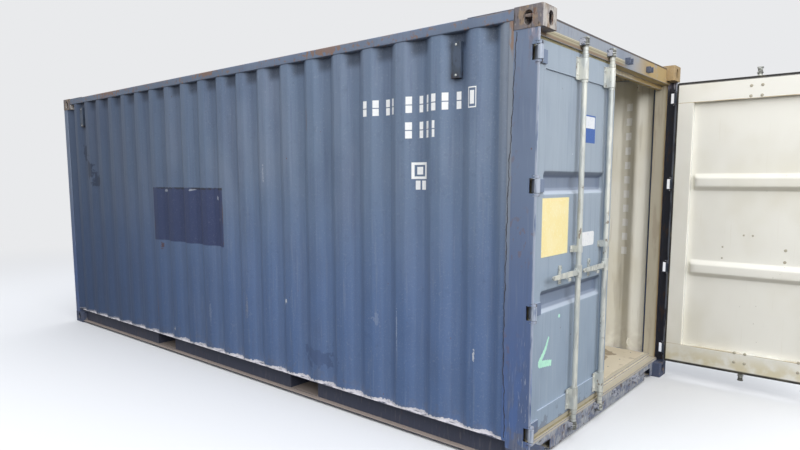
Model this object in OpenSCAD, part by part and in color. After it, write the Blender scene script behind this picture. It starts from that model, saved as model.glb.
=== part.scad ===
// Twenty-foot dry freight container, door end at +X, blind end at -X.
// Millimetres, +Z up, origin at the bottom centre, castings stand on Z = 0.
// One long side and the left door face -Y. The right door rests open.

/* [Box] */
// Outside length over the corner castings
box_l = 6058; // [6050:1:6058]
// Outside width over the corner castings
box_w = 2438; // [2430:1:2438]
// Outside height over the corner castings
box_h = 2591; // [2580:1:2600]

/* [Corner castings] */
// Casting length along the box
cast_l = 178; // [176:1:180]
// Casting width across the box
cast_w = 162; // [160:1:164]
// Casting height
cast_h = 118; // [116:1:120]
// Wall thickness of the twistlock face
cast_face_t = 28; // [26:1:32]
// Wall thickness of the outer side and end faces
cast_out_t = 14; // [10:1:16]
// Wall thickness of the inner faces
cast_in_t = 8; // [6:1:12]
// Twistlock slot length along the box
slot_l = 124; // [120:1:126]
// Twistlock slot width across the box
slot_w = 63.5; // [60:0.5:65]
// Slot centre from the end of the box
slot_in_x = 102.5; // [101:0.5:104]
// Slot centre from the side of the box
slot_in_y = 89.5; // [88:0.5:91]
// Rounding of the upright casting edges
cast_round = 10; // [6:1:14]
// Width of the oval side and end holes
oval_w = 51; // [48:1:54]
// Height of the oval side and end holes
oval_h = 79; // [76:1:82]
// Height of the oval centre above the outer horizontal face
oval_z = 63; // [60:1:66]
// Distance of the oval centre from the box corner
oval_in = 89; // [86:1:92]

/* [Rails and posts] */
// Outer plane of rails and posts, set in from the castings
skin_in = 3; // [2:1:6]
// Side of the square top side rail
top_rail = 60; // [50:1:70]
// Wall of the top side rail
top_rail_t = 4; // [3:0.5:6]
// Rounding of the top side rail
rail_round = 6; // [5:0.5:10]
// Drop of the rails below the casting tops
rail_drop = 6; // [4:1:10]
// Underside of the bottom side rail
sill_rail_z = 17; // [12.5:0.5:20]
// Height of the bottom side rail
bottom_rail_h = 140; // [130:1:150]
// Depth of the bottom side rail
bottom_rail_d = 48; // [40:1:52]
// Thickness of the bottom side rail
bottom_rail_t = 5; // [4:0.5:6]
// Length of the box part of each door post
post_box_l = 98; // [90:1:100]
// Width of the box part of each door post
post_box_w = 51; // [46:1:51]
// Wall of the posts
post_t = 8; // [6:1:10]
// Set-back of the post's outer plate from the door end
post_plate_in = 44; // [42:1:48]
// Depth of the hinge notches in that plate
notch_d = 20; // [18:1:22]
// Tail of that plate over the edge of the side wall
post_tail = 26; // [20:1:40]
// Front post length
front_post_l = 82; // [70:1:100]
// Front post width
front_post_w = 90; // [80:1:110]

/* [Side walls] */
// Sheet thickness of the walls
wall_t = 2; // [1.6:0.1:3]
// Set-in of the wall's outer flats from the rail's outer plane
wall_in = 5; // [3:1:8]
// Depth of the side corrugation
side_depth = 36; // [30:1:38]
// Pitch of the side corrugation
side_pitch = 281.67; // [278:0.01:285]
// Centre of the first full recess from the door post
side_first_in = 357; // [350:1:360]
// Least distance of the last full recess from the front post
side_last_in = 330; // [320:1:340]
// Run of one slope
side_slope = 68; // [60:1:72]
// Flat at the bottom of a recess
side_flat = 70; // [66:1:74]
// Centre of the narrow recess from the door post
narrow_door_in = 115; // [110:1:120]
// Centre of the narrow recess from the front post
narrow_front_in = 98; // [95:1:105]
// Flat at the bottom of a narrow recess
narrow_flat = 22; // [15:1:30]

/* [Front wall and roof] */
// Depth of the front wall corrugation
front_depth = 45; // [40:1:46]
// Pitch of the front wall corrugation
front_pitch = 250; // [248:1:252]
// Least flat beside the outer recesses of the front wall
front_edge = 40; // [30:1:60]
// Run of one slope in the front wall
front_slope = 18; // [15:1:25]
// Flat of a recess in the front wall
front_flat = 104; // [95:1:110]
// Height of the front top rail
front_rail_h = 112; // [100:1:118]
// Depth of the front rails
front_rail_d = 78; // [70:1:90]
// Depth of the roof corrugation
roof_depth = 20; // [15:1:22]
// Pitch of the roof corrugation
roof_pitch = 209; // [206:1:211]
// Least flat beyond the outer recesses of the roof
roof_edge = 60; // [50:1:100]
// Run of one slope in the roof
roof_slope = 69; // [65:1:70]
// Flat of a recess in the roof
roof_flat = 36; // [30:1:38]

/* [Floor] */
// Floor board thickness
board_t = 28; // [24:1:30]
// Floor top above the ground
floor_z = 165; // [160:1:168]
// Gap between the floor and the posts beside it
floor_gap = 3; // [2:1:6]
// Joint between boards
board_gap = 3; // [2:1:5]
// Rows of boards along the box
board_rows = 5; // [4:1:6]
// Cross member width
cross_w = 45; // [40:1:50]
// Cross member thickness
cross_t = 4; // [3:0.5:5]
// Largest spacing of the cross members
cross_step = 310; // [280:1:320]
// Cross member distance beside a fork pocket
cross_in = 60; // [40:1:80]
// Fork pocket inner width
pocket_w = 320; // [305:1:360]
// Fork pocket inner height
pocket_h = 104; // [100:1:106]
// Fork pocket centre from the middle of the box
pocket_x = 1030; // [1020:1:1040]
// Fork pocket plate thickness
pocket_t = 6; // [5:1:8]

/* [Door end frame] */
// Set-back of header and sill from the door end
beam_in = 63; // [61:1:67]
// Depth of header and sill
beam_d = 100; // [95:1:106]
// Set-back of the stop ledges behind the doors
stop_in = 129; // [127:1:133]
// Plate thickness of header and sill
beam_t = 6; // [5:1:8]
// Underside of the header front, below the box top
header_drop = 140; // [136:1:141]
// Top of the header, below the box top
header_top_drop = 19; // [15:1:23]
// Drop of the stop ledge below the header front
stop_drop = 34; // [14:1:36]
// Underside of the sill
sill_z = 12.5; // [12.5:0.5:16]
// Top of the sill front
sill_top_z = 142; // [138:1:144]
// Lifting notch in the sill, distance from the casting
sill_notch_in = 57; // [50:1:65]
// Width of the lifting notches in the sill
sill_notch_w = 140; // [130:1:150]
// Height of the lifting notches in the sill
sill_notch_h = 72; // [65:1:78]

/* [Doors] */
// Angle at which the right door rests
door_open_angle = 90; // [85:1:95]
// Set-back of a closed leaf from the door end
leaf_in = 71; // [69:1:73]
// Leaf thickness
leaf_t = 50; // [45:1:50]
// Hinge edge of a leaf from the side of the box
leaf_hinge_in = 69; // [67:1:71]
// Free edge of a leaf from the middle plane
leaf_free_y = 12; // [11:1:16]
// Bottom of a leaf
leaf_z0 = 160; // [156:1:164]
// Gap between a leaf and the header
leaf_gap = 15; // [15:1:18]
// Width of the hinge stile
hinge_stile = 115; // [105:1:120]
// Width of the free stile
free_stile = 110; // [100:1:115]
// Height of top and bottom rail of a leaf
leaf_rail = 148; // [140:1:155]
// Wall of the leaf frame tubes
tube_t = 4; // [3:0.5:5]
// Set-back of the leaf panel from the outer plane
panel_in = 8; // [6:1:10]
// Sheet thickness of the leaf panel
panel_t = 2.5; // [2:0.5:3]
// Depth of the pressed channels in a leaf
press_depth = 36; // [30:1:38]
// Centre height of the upper pressed channel
press_up_z = 1655; // [1640:1:1660]
// Centre height of the lower pressed channel
press_low_z = 957; // [945:1:965]
// Opening height of a pressed channel
press_h = 130; // [120:1:140]
// Run of the slopes of a pressed channel
press_slope = 32; // [28:1:36]
// Gasket reach beyond the leaf at top, bottom and hinge side
seal_reach = 9; // [8:1:10]
// Gasket reach beyond the free edge
seal_free = 7; // [6:1:7]
// Gasket thickness
seal_t = 14; // [10:1:16]
// Set-back of the gasket from the outer plane
seal_in = 10; // [8:1:16]

/* [Hinges] */
// Hinge axis from the door end
pin_in_x = 21; // [19:1:23]
// Hinge axis from the side of the box
pin_in_y = 20; // [19:1:21]
// Height of the lowest hinge
hinge_low = 226; // [220:1:240]
// Highest hinge below the box top
hinge_drop = 245; // [240:1:260]
// Hinges on a leaf
hinge_count = 4; // [3:1:5]
// Pin radius
pin_r = 9; // [8:0.5:10]
// Knuckle radius
knuckle_r = 16; // [15:0.5:16.5]
// Half height of a knuckle
knuckle_half = 38; // [34:1:40]
// Thickness of a hinge lug
lug_t = 12; // [10:1:14]
// Clearance of knuckle over pin
pin_play = 0.8; // [0.5:0.1:1]
// Clearance of knuckle between lugs
lug_play = 3; // [2:1:4]
// Reach of the hinge blade on the leaf
blade_reach = 160; // [140:1:180]
// Thickness of the hinge blade
blade_t = 12; // [10:1:12]
// Inner foot of the blade's arm on the leaf, from the pin
blade_foot = 28; // [24:1:32]
// Outer bend of the blade's arm, from the pin
blade_bend = 48; // [42:1:54]

/* [Locking gear] */
// Rod axis from the outer plane of the leaf
rod_out = 35; // [34:1:36]
// Inner rod axis from the middle plane
rod_in_y = 165; // [160:1:170]
// Outer rod axis from the hinge edge of the leaf
rod_hinge_y = 555; // [545:1:565]
// Rod radius
rod_r = 17; // [16:0.5:17.5]
// Rod bore radius
rod_bore_r = 14; // [12:0.5:14.5]
// Lower end of a rod
rod_z0 = 70; // [62:1:76]
// Upper end of a rod below the box top
rod_drop = 65; // [60:1:70]
// Cam radius
cam_r = 22; // [20:0.5:23]
// Cam height
cam_h = 46; // [40:1:50]
// Clearance of a rod in its guides
rod_play = 1; // [0.8:0.1:1.5]
// Wall of a guide
guide_t = 5; // [4:0.5:6]
// Flange thickness of a guide
flange_t = 4; // [3:0.5:5]
// Half width of a guide flange
flange_reach = 52; // [45:1:56]
// Half width of a middle guide's flange, clear of the stiles
mid_reach = 40; // [34:1:41]
// Height of the end guides
guide_h = 134; // [125:1:140]
// Top guide's upper end below the top of the leaf
guide_top_in = 26; // [22:1:34]
// Low guide's lower end above the bottom of the leaf
guide_low_in = 44; // [38:1:50]
// Height of the middle guides
mid_guide_h = 42; // [36:1:50]
// Centre of the middle guides
mid_guide_z = 1243; // [1235:1:1250]
// Collar radius on a rod
collar_r = 21; // [20:0.5:22]
// Collar height on a rod
collar_h = 12; // [8:1:16]
// Gap between collar and guide
collar_gap = 4; // [3:1:6]
// Height of hub and handle
handle_z = 1102; // [1095:1:1110]
// Hub height
hub_h = 80; // [70:1:90]
// Hub radius
hub_r = 23; // [21:0.5:24]
// Reach of a handle's outer face beyond the rod
hub_reach = 4; // [3:0.5:6]
// Distance of the handle bolt from the rod
bolt_y = 44; // [42:1:48]
// Handle bolt radius
bolt_r = 6; // [5:0.5:7]
// Handle thickness
handle_t = 10; // [8:1:12]
// Handle height
handle_w = 32; // [28:1:36]
// Gap between a handle's tip and the next rod
handle_gap = 28; // [20:1:40]
// Handle height at its tip
handle_tip_w = 24; // [20:1:28]
// Catch distance from the rod axis
catch_y = 176; // [170:1:190]
// Catch width
catch_w = 34; // [28:1:40]
// Thickness of the catch shelf
catch_t = 6; // [5:1:8]
// Gap between a handle and its shelf
catch_play = 5; // [5:1:8]
// Base plate of a catch below its shelf
catch_tail = 42; // [36:1:48]
// Radius of the seal ring on a catch
ring_eye = 18; // [16:1:20]
// Half opening of a keeper
keeper_half = 25.5; // [25.5:0.5:30]
// Keeper plate thickness
keeper_t = 5; // [5:0.5:8]
// Keeper height
keeper_h = 40; // [34:1:44]
// Depth of a keeper
keeper_d = 36; // [30:1:44]
// Middle of the sill keepers
keeper_z = 102; // [98:1:108]

/* [Small fittings] */
// Vent cover width
vent_w = 66; // [60:1:68]
// Vent cover height
vent_h = 210; // [200:1:220]
// Vent cover depth
vent_d = 30; // [25:1:33]
// Vent cover wall
vent_t = 3; // [2:0.5:4]
// Middle of the vent covers below the box top
vent_drop = 222; // [215:1:235]
// Bar radius of a lashing ring
ring_bar = 6; // [5:0.5:7]
// Radius of a lashing ring
ring_r = 30; // [26:1:34]
// Lashing rings above the floor and below the top rail
ring_up = 70; // [55:1:90]
// Side recesses from one lashing ring to the next
ring_every = 4; // [2:1:6]
// Roof corner plate length
plate_l = 300; // [250:1:350]
// Roof corner plate thickness
plate_t = 3; // [2:0.5:3]

/* [Hidden] */
$fn = 32;
seat = 0.3;
eps = 1;
bolt_play = 0.5;
half_l = box_l / 2;
half_w = box_w / 2;
skin_y = half_w - skin_in;
wall_y = skin_y - wall_in;
cast_x = half_l - cast_l;
cast_y = half_w - cast_w;
cast_top = box_h - cast_h;
rail_top = box_h - rail_drop;
rail_low = rail_top - top_rail;
post_plate_x = half_l - post_plate_in;
notch_x = post_plate_x - notch_d;
beam_x = half_l - beam_in;
beam_back_x = beam_x - beam_d;
stop_x = half_l - stop_in;
header_z = box_h - header_drop;
header_top_z = box_h - header_top_drop;
header_stop_z = header_z - stop_drop;
leaf_x = half_l - leaf_in;
leaf_hinge_y = half_w - leaf_hinge_in;
leaf_z1 = header_z - leaf_gap;
pin_x = half_l - pin_in_x;
pin_y = half_w - pin_in_y;
hinge_step = (box_h - hinge_drop - hinge_low) / (hinge_count - 1);
hinge_zs = [for (i = [0 : hinge_count - 1]) hinge_low + i * hinge_step];
rod_x = leaf_x + rod_out;
rod_out_y = leaf_hinge_y - rod_hinge_y;
rod_z1 = box_h - rod_drop;
guide_top_z = leaf_z1 - guide_top_in - guide_h;
guide_low_z = leaf_z0 + guide_low_in;
handle_reach = rod_out_y - rod_in_y - rod_r - handle_gap;
floor_half = skin_y - post_box_w - floor_gap;
bottom_rail_top = sill_rail_z + bottom_rail_h;
web_y = skin_y - bottom_rail_d;
slot_cx = half_l - slot_in_x;
slot_cy = half_w - slot_in_y;
oval_cx = half_l - oval_in;
oval_cy = half_w - oval_in;
post_y = skin_y - post_box_w;
board_z = floor_z - board_t;
cross_z0 = sill_rail_z;
cross_h = board_z - cross_z0 - seat;
leaf_back = leaf_x - leaf_t;
panel_x = leaf_x - panel_in;
panel_y0 = leaf_hinge_y - hinge_stile;
panel_y1 = leaf_free_y + free_stile;
guide_r = rod_r + rod_play + guide_t;
handle_x = rod_x + rod_r - handle_t + hub_reach;
paint_blue = "#5f7390";
paint_cream = "#e3e1d8";
rust_tan = "#b58a62";
zinc = "#c8ccc8";
rubber_dark = "#2b2b2b";
ply_pale = "#b9a98a";

// A copy on the other long side.
module both_sides() {
    children();
    mirror([0, 1, 0]) children();
}

// A plan shape lifted from z0 by h.
module slab(z0, h) {
    translate([0, 0, z0]) linear_extrude(h) children();
}

// A section drawn in X and Z, run along Y from y0 to y1.
module run_y(y0, y1) {
    translate([0, y1, 0]) rotate([90, 0, 0]) linear_extrude(y1 - y0) children();
}

// A section drawn in Y and Z, run along X from x0 to x1.
module run_x(x0, x1) {
    translate([x0, 0, 0]) rotate([90, 0, 90]) linear_extrude(x1 - x0) children();
}

module box_at(x0, x1, y0, y1, z0, z1) {
    translate([x0, y0, z0]) cube([x1 - x0, y1 - y0, z1 - z0]);
}

// Rectangle with rounded corners, from corner (x, y).
module round_rect(x, y, w, h, r) {
    translate([x + r, y]) square([w - 2 * r, h]);
    translate([x, y + r]) square([w, h - 2 * r]);
    for (i = [x + r, x + w - r], j = [y + r, y + h - r]) translate([i, j]) circle(r = r);
}

// Oval drawn upright in a plane.
module oval_2d(w, h) {
    translate([-w / 2, -(h - w) / 2]) square([w, h - w]);
    translate([0, (h - w) / 2]) circle(d = w);
    translate([0, -(h - w) / 2]) circle(d = w);
}

// Casting at the corner +X -Y, twistlock face down, standing on z = 0.
module casting_down() {
    difference() {
        slab(0, cast_h) round_rect(cast_x, -half_w, cast_l, cast_w, cast_round);
        box_at(cast_x + cast_in_t, half_l - cast_out_t, -half_w + cast_out_t, -cast_y - cast_in_t,
            cast_face_t, cast_h - cast_in_t);
        translate([slot_cx, -slot_cy, -eps]) rotate([0, 0, 90])
            linear_extrude(cast_face_t + 2 * eps) oval_2d(slot_w, slot_l);
        translate([0, 0, oval_z]) run_x(half_l - cast_out_t - eps, half_l + eps)
            translate([-oval_cy, 0]) oval_2d(oval_w, oval_h);
        translate([0, 0, oval_z]) run_y(-half_w - eps, -half_w + cast_out_t + eps)
            translate([oval_cx, 0]) oval_2d(oval_w, oval_h);
    }
}

module four_down() {
    both_sides() {
        casting_down();
        mirror([1, 0, 0]) casting_down();
    }
}

module lower_corner_castings() {
    color(rust_tan) four_down();
}

module upper_corner_castings() {
    color(rust_tan) translate([0, 0, box_h]) mirror([0, 0, 1]) four_down();
}

module front_corner_posts() {
    fx = half_l - skin_in;
    color(paint_blue) both_sides() slab(cast_h + seat, cast_top - cast_h - 2 * seat) difference() {
        translate([-fx, -skin_y]) square([front_post_l, front_post_w]);
        translate([-fx + post_t, -skin_y + post_t])
            square([front_post_l - 2 * post_t, front_post_w - 2 * post_t]);
    }
}

// Plan of the left door post: a box tube and an outer plate that runs forward past the leaf edge.
module door_post_2d() {
    difference() {
        translate([cast_x, -skin_y]) square([post_box_l, post_box_w]);
        translate([cast_x + post_t, -skin_y + post_t])
            square([post_box_l - 2 * post_t, post_box_w - 2 * post_t]);
    }
    translate([cast_x, -skin_y]) square([post_plate_x - cast_x - post_t / 2, post_t]);
    translate([post_plate_x - post_t / 2, -skin_y + post_t / 2]) circle(d = post_t);
}

module door_corner_posts() {
    notch_half = knuckle_half + lug_play;
    tail_z = bottom_rail_top + seat;
    color(paint_blue) both_sides() difference() {
        union() {
            slab(cast_h + seat, cast_top - cast_h - 2 * seat) door_post_2d();
            box_at(cast_x - post_tail, cast_x + eps, -skin_y, -skin_y + post_t, tail_z,
                cast_top - seat);
            box_at(cast_x - post_tail, cast_x - seat, -skin_y, -skin_y + post_t, tail_z,
                rail_low - seat);
        }
        for (z = hinge_zs)
            box_at(notch_x, post_plate_x + eps, -skin_y - eps, -skin_y + post_t + eps,
                z - notch_half, z + notch_half);
    }
}

// Two lugs and a headed pin for one hinge of the left door.
module hinge_lug(z) {
    lug_z = knuckle_half + lug_play;
    head = 4;
    for (side = [0, 1]) mirror([0, 0, side]) {
        slab(lug_z, lug_t) {
            translate([pin_x, -pin_y]) circle(r = knuckle_r);
            translate([post_plate_x + seat, -pin_y - knuckle_r])
                square([pin_x - post_plate_x, 2 * knuckle_r - pin_r]);
        }
        slab(lug_z + lug_t - eps, head + eps) translate([pin_x, -pin_y]) circle(r = pin_r + head);
    }
    slab(-lug_z - lug_t, 2 * (lug_z + lug_t)) translate([pin_x, -pin_y]) circle(r = pin_r);
}

module hinge_lugs() {
    color(paint_blue) both_sides() for (z = hinge_zs) translate([0, 0, z]) hinge_lug(z);
}

module top_side_rails() {
    color(paint_blue) both_sides() run_x(-cast_x + seat, cast_x - seat) difference() {
        round_rect(-skin_y, rail_low, top_rail, top_rail, rail_round);
        round_rect(-skin_y + top_rail_t, rail_low + top_rail_t, top_rail - 2 * top_rail_t,
            top_rail - 2 * top_rail_t, rail_round - top_rail_t);
    }
}

// Edges of the fork pockets along the box and in height, inside their plates.
pocket_in = pocket_x - pocket_w / 2;
pocket_out = pocket_x + pocket_w / 2;
pocket_z0 = cross_z0 + pocket_t + seat;
pocket_z1 = pocket_z0 + pocket_h;

// Built-up channel open outwards: two flanges and web plates that leave the fork pockets free.
module bottom_side_rails() {
    t = bottom_rail_t;
    z0 = sill_rail_z;
    z1 = bottom_rail_top;
    end = cast_x - seat;
    color(paint_blue) both_sides() {
        for (z = [z0, z1 - t]) box_at(-end, end, -skin_y, -web_y + t, z, z + t);
        for (x = [[-end, -pocket_out - seat], [-pocket_in + seat, pocket_in - seat],
            [pocket_out + seat, end]])
            box_at(x[0], x[1], -web_y, -web_y + t, z0 + t + seat, z1 - t - seat);
        for (side = [-1, 1])
            box_at(side * pocket_x - pocket_w / 2, side * pocket_x + pocket_w / 2, -web_y,
                -web_y + t, pocket_z1, z1 - t - seat);
    }
}

// Each pocket is lined with a floor, a top and two side plates.
module fork_pockets() {
    y = web_y - bottom_rail_t - seat;
    t = pocket_t;
    color(paint_blue) for (side = [-1, 1]) translate([side * pocket_x, 0, 0]) {
        for (z = [pocket_z0 - t, pocket_z1])
            box_at(-pocket_w / 2 - t, pocket_w / 2 + t, -y, y, z, z + t);
        for (x = [-pocket_w / 2 - t, pocket_w / 2])
            box_at(x, x + t, -y, y, pocket_z0 + seat, pocket_z1 - seat);
    }
}

module front_beam(z0, z1) {
    fx = half_l - skin_in;
    t = beam_t;
    run_y(-cast_y + seat, cast_y - seat) difference() {
        translate([-fx, z0]) square([front_rail_d, z1 - z0]);
        translate([-fx + t, z0 + t]) square([front_rail_d - 2 * t, z1 - z0 - 2 * t]);
    }
}

module front_top_rail() {
    color(paint_blue) front_beam(rail_top - front_rail_h, rail_top);
}

module front_bottom_rail() {
    color(paint_blue) front_beam(sill_rail_z, bottom_rail_top);
}

// Header: front box between the castings and a stop ledge that runs on under them.
module door_header() {
    t = beam_t;
    color(paint_blue) {
        run_y(-cast_y + seat, cast_y - seat) difference() {
            polygon([[beam_back_x, header_stop_z], [stop_x, header_stop_z], [stop_x, header_z],
                [beam_x, header_z], [beam_x, header_top_z], [beam_back_x, header_top_z]]);
            polygon([[beam_back_x + t, header_stop_z + t], [stop_x - t, header_stop_z + t],
                [stop_x - t, header_z + t], [beam_x - t, header_z + t], [beam_x - t, header_top_z - t],
                [beam_back_x + t, header_top_z - t]]);
        }
        both_sides() run_y(cast_y - seat - t, post_y - seat)
            polygon([[stop_x, header_stop_z], [stop_x, header_z], [beam_x, header_z],
                [beam_x, cast_top - seat], [beam_back_x, cast_top - seat],
                [beam_back_x, header_stop_z]]);
    }
}

// Sill: a channel with a stop ledge, notched at the bottom near the castings.
module door_sill() {
    t = beam_t;
    color(paint_blue) {
        difference() {
            run_y(-cast_y + seat, cast_y - seat)
                polygon([[beam_back_x, sill_z], [beam_x, sill_z], [beam_x, sill_top_z],
                    [stop_x, sill_top_z], [stop_x, floor_z], [beam_back_x, floor_z],
                    [beam_back_x, floor_z - t], [stop_x - t, floor_z - t],
                    [stop_x - t, sill_top_z - t], [beam_x - t, sill_top_z - t],
                    [beam_x - t, sill_z + t], [beam_back_x, sill_z + t]]);
            both_sides() box_at(beam_x - 5 * t, beam_x + eps, cast_y - sill_notch_in - sill_notch_w,
                cast_y - sill_notch_in, sill_z - eps, sill_z + sill_notch_h);
        }
        both_sides() run_y(cast_y - seat - t, post_y - seat)
            polygon([[beam_back_x, cast_h + seat], [beam_x, cast_h + seat], [beam_x, sill_top_z],
                [stop_x, sill_top_z], [stop_x, floor_z], [beam_back_x, floor_z]]);
    }
}

// A cradle open towards +X in which a rod end stands, centred on height z.
module keeper(z) {
    outer = keeper_half + keeper_t;
    back_t = 4;
    for (y = [-rod_out_y, -rod_in_y, rod_in_y, rod_out_y]) translate([0, y, 0])
        slab(z - keeper_h / 2, keeper_h) difference() {
            round_rect(beam_x + seat, -outer, keeper_d, 2 * outer, keeper_t / 3);
            translate([beam_x + seat + back_t, -keeper_half])
                square([keeper_d, 2 * keeper_half]);
        }
}

module header_keepers() {
    below_cam = 6;
    color(paint_blue) keeper(rod_z1 - cam_h / 2 - below_cam);
}

module sill_keepers() {
    color(paint_blue) keeper(keeper_z);
}

// Points of a pressed sheet: a list of recesses [centre, flat, slope] cut depth deep into a line.
function press_points(recesses, x0, x1, y_out, depth) = concat([[x0, y_out]],
    [for (r = recesses) for (p = [[r[0] - r[1] / 2 - r[2], 0], [r[0] - r[1] / 2, 1],
        [r[0] + r[1] / 2, 1], [r[0] + r[1] / 2 + r[2], 0]]) [p[0], y_out + p[1] * depth]],
    [[x1, y_out]]);
function lifted(points, t) = [for (p = points) [p[0], p[1] + t]];
function reversed(points) = [for (i = [len(points) - 1 : -1 : 0]) points[i]];

module sheet_2d(recesses, x0, x1, y_out, depth, t) {
    line = press_points(recesses, x0, x1, y_out, depth);
    polygon(concat(line, reversed(lifted(line, t))));
}

// Side recesses run from the door post towards the blind end.
side_x0 = -half_l + skin_in + front_post_l + seat;
side_x1 = cast_x - post_tail - seat;
side_waves = 1 + floor((side_x1 - side_x0 - side_first_in - side_last_in) / side_pitch);
side_first = side_x1 - side_first_in - (side_waves - 1) * side_pitch;
side_recesses = concat([[side_x0 + narrow_front_in, narrow_flat, side_slope]],
    [for (i = [0 : side_waves - 1]) [side_first + i * side_pitch, side_flat, side_slope]],
    [[side_x1 - narrow_door_in, narrow_flat, side_slope]]);

module side_wall() {
    difference() {
        slab(bottom_rail_top + seat, rail_low - bottom_rail_top - 2 * seat)
            sheet_2d(side_recesses, side_x0, side_x1, -wall_y, side_depth, wall_t);
        box_at(-half_l, -cast_x + seat, -half_w, -cast_y, cast_top - seat, box_h);
    }
}

module left_side_wall() {
    color(paint_blue) side_wall();
}

module right_side_wall() {
    color(paint_blue) mirror([0, 1, 0]) side_wall();
}

module front_wall() {
    span = skin_y - front_post_w - seat;
    open = front_flat + 2 * front_slope;
    waves = 1 + floor(2 * (span - front_edge - open / 2) / front_pitch);
    first = -(waves - 1) / 2 * front_pitch;
    recesses = [for (i = [0 : waves - 1]) [first + i * front_pitch, front_flat, front_slope]];
    z0 = bottom_rail_top + seat;
    color(paint_blue) slab(z0, rail_top - front_rail_h - seat - z0)
        translate([-half_l + skin_in + wall_in, 0]) rotate(-90)
            sheet_2d(recesses, -span, span, 0, front_depth, wall_t);
}

module roof_panel() {
    span = skin_y - top_rail - seat;
    end = cast_x - seat;
    open = roof_flat + 2 * roof_slope;
    waves = 1 + floor(2 * (end - roof_edge - open / 2) / roof_pitch);
    first = -(waves - 1) / 2 * roof_pitch;
    recesses = [for (i = [0 : waves - 1]) [first + i * roof_pitch, roof_flat, roof_slope]];
    color(paint_blue) run_y(-span, span) mirror([0, 1])
        sheet_2d(recesses, -end, end, -rail_top + wall_t, roof_depth, wall_t);
}

// Flat plates that close the roof between the castings, up to the beams at both ends.
module roof_header_plates() {
    y = cast_y - seat;
    color(paint_blue) {
        box_at(-half_l + skin_in + front_rail_d + seat, -cast_x, -y, y, rail_top - plate_t,
            rail_top);
        box_at(cast_x, beam_back_x - seat, -y, y, rail_top - plate_t, rail_top);
    }
}

// Flat plates beside the upper castings that take the spreader's knocks.
module roof_corner_plates() {
    z0 = rail_top + seat;
    color(paint_blue) both_sides() {
        box_at(cast_x - seat - plate_l, cast_x - seat, -skin_y, -cast_y, z0, z0 + plate_t);
        box_at(-cast_x + seat, -cast_x + seat + plate_l, -skin_y, -cast_y, z0, z0 + plate_t);
    }
}

module floor_boards() {
    x0 = -half_l + skin_in + front_post_l + floor_gap;
    x1 = beam_back_x - seat;
    step = (x1 - x0) / board_rows;
    color(ply_pale) both_sides() for (i = [0 : board_rows - 1])
        box_at(x0 + i * step, x0 + (i + 1) * step - board_gap, board_gap / 2, floor_half,
            board_z, floor_z);
}

// Cross members stand evenly between the pockets and from each pocket to the castings.
cross_mid = pocket_x - pocket_w / 2 - pocket_t - cross_in;
cross_mid_n = ceil(2 * cross_mid / cross_step);
cross_out = pocket_x + pocket_w / 2 + pocket_t + cross_in;
cross_end = cast_x - cross_w;
cross_out_n = ceil((cross_end - cross_out) / cross_step);
cross_xs = concat([for (i = [0 : cross_mid_n]) -cross_mid + i * 2 * cross_mid / cross_mid_n],
    [for (side = [-1, 1]) for (i = [0 : cross_out_n])
        side * (cross_out + i * (cross_end - cross_out) / cross_out_n)]);

module cross_members() {
    y = web_y - bottom_rail_t - seat;
    color(paint_blue) for (x = cross_xs) translate([x, 0, 0]) run_y(-y, y) difference() {
        translate([-cross_w / 2, cross_z0]) square([cross_w, cross_h]);
        translate([-cross_w / 2 + cross_t, cross_z0 + cross_t])
            square([cross_w, cross_h - 2 * cross_t]);
    }
}

vent_door_x = side_recesses[side_waves][0];
vent_front_x = side_recesses[1][0];
vent_z = box_h - vent_drop;

// Hooded cover, open at the bottom, in a recess of the side wall.
module vent_covers() {
    back = wall_y - side_depth + seat;
    color(rubber_dark) both_sides() for (x = [vent_front_x, vent_door_x]) difference() {
        box_at(x - vent_w / 2, x + vent_w / 2, back, back + vent_d, vent_z - vent_h / 2,
            vent_z + vent_h / 2);
        box_at(x - vent_w / 2 + vent_t, x + vent_w / 2 - vent_t, back + vent_t,
            back + vent_d - vent_t, vent_z - vent_h / 2 - eps, vent_z + vent_h / 2 - vent_t);
    }
}

ring_xs = concat([for (i = [1 : ring_every : side_waves]) side_recesses[i][0]],
    [side_recesses[side_waves + 1][0]]);

// Half rings bent out of the wall recesses, high and low.
module lashing_rings() {
    y = wall_y - side_depth - wall_t - seat;
    color(paint_cream) both_sides() for (x = ring_xs, z = [floor_z + ring_up, rail_low - ring_up])
        translate([x, y, z]) rotate([0, 90, 0]) intersection() {
            rotate_extrude() translate([ring_r, 0]) circle(r = ring_bar);
            translate([-ring_r * 2, -ring_r * 2, -ring_r]) cube([ring_r * 4, ring_r * 2, ring_r * 2]);
        }
}

// Everything below is drawn for the left door, closed. The right door is its mirror image, swung open.
module as_right() {
    translate([pin_x, pin_y, 0]) rotate([0, 0, door_open_angle]) translate([-pin_x, -pin_y, 0])
        mirror([0, 1, 0]) children();
}

// Welded frame of rectangular tube with drain holes in the bottom rail.
module door_frame() {
    t = tube_t;
    drain_r = 6;
    color(paint_cream) difference() {
        box_at(leaf_back, leaf_x, -leaf_hinge_y, -leaf_free_y, leaf_z0, leaf_z1);
        box_at(leaf_back - eps, leaf_x + eps, -panel_y0, -panel_y1, leaf_z0 + leaf_rail,
            leaf_z1 - leaf_rail);
        difference() {
            box_at(leaf_back + t, leaf_x - t, -leaf_hinge_y + t, -leaf_free_y - t, leaf_z0 + t,
                leaf_z1 - t);
            box_at(leaf_back, leaf_x, -panel_y0 - t, -panel_y1 + t, leaf_z0 + leaf_rail - t,
                leaf_z1 - leaf_rail + t);
        }
        for (y = [-panel_y0, -panel_y1]) translate([leaf_x - leaf_t / 2, y, leaf_z0 - eps])
            cylinder(r = drain_r, h = t + 2 * eps);
    }
}

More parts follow.
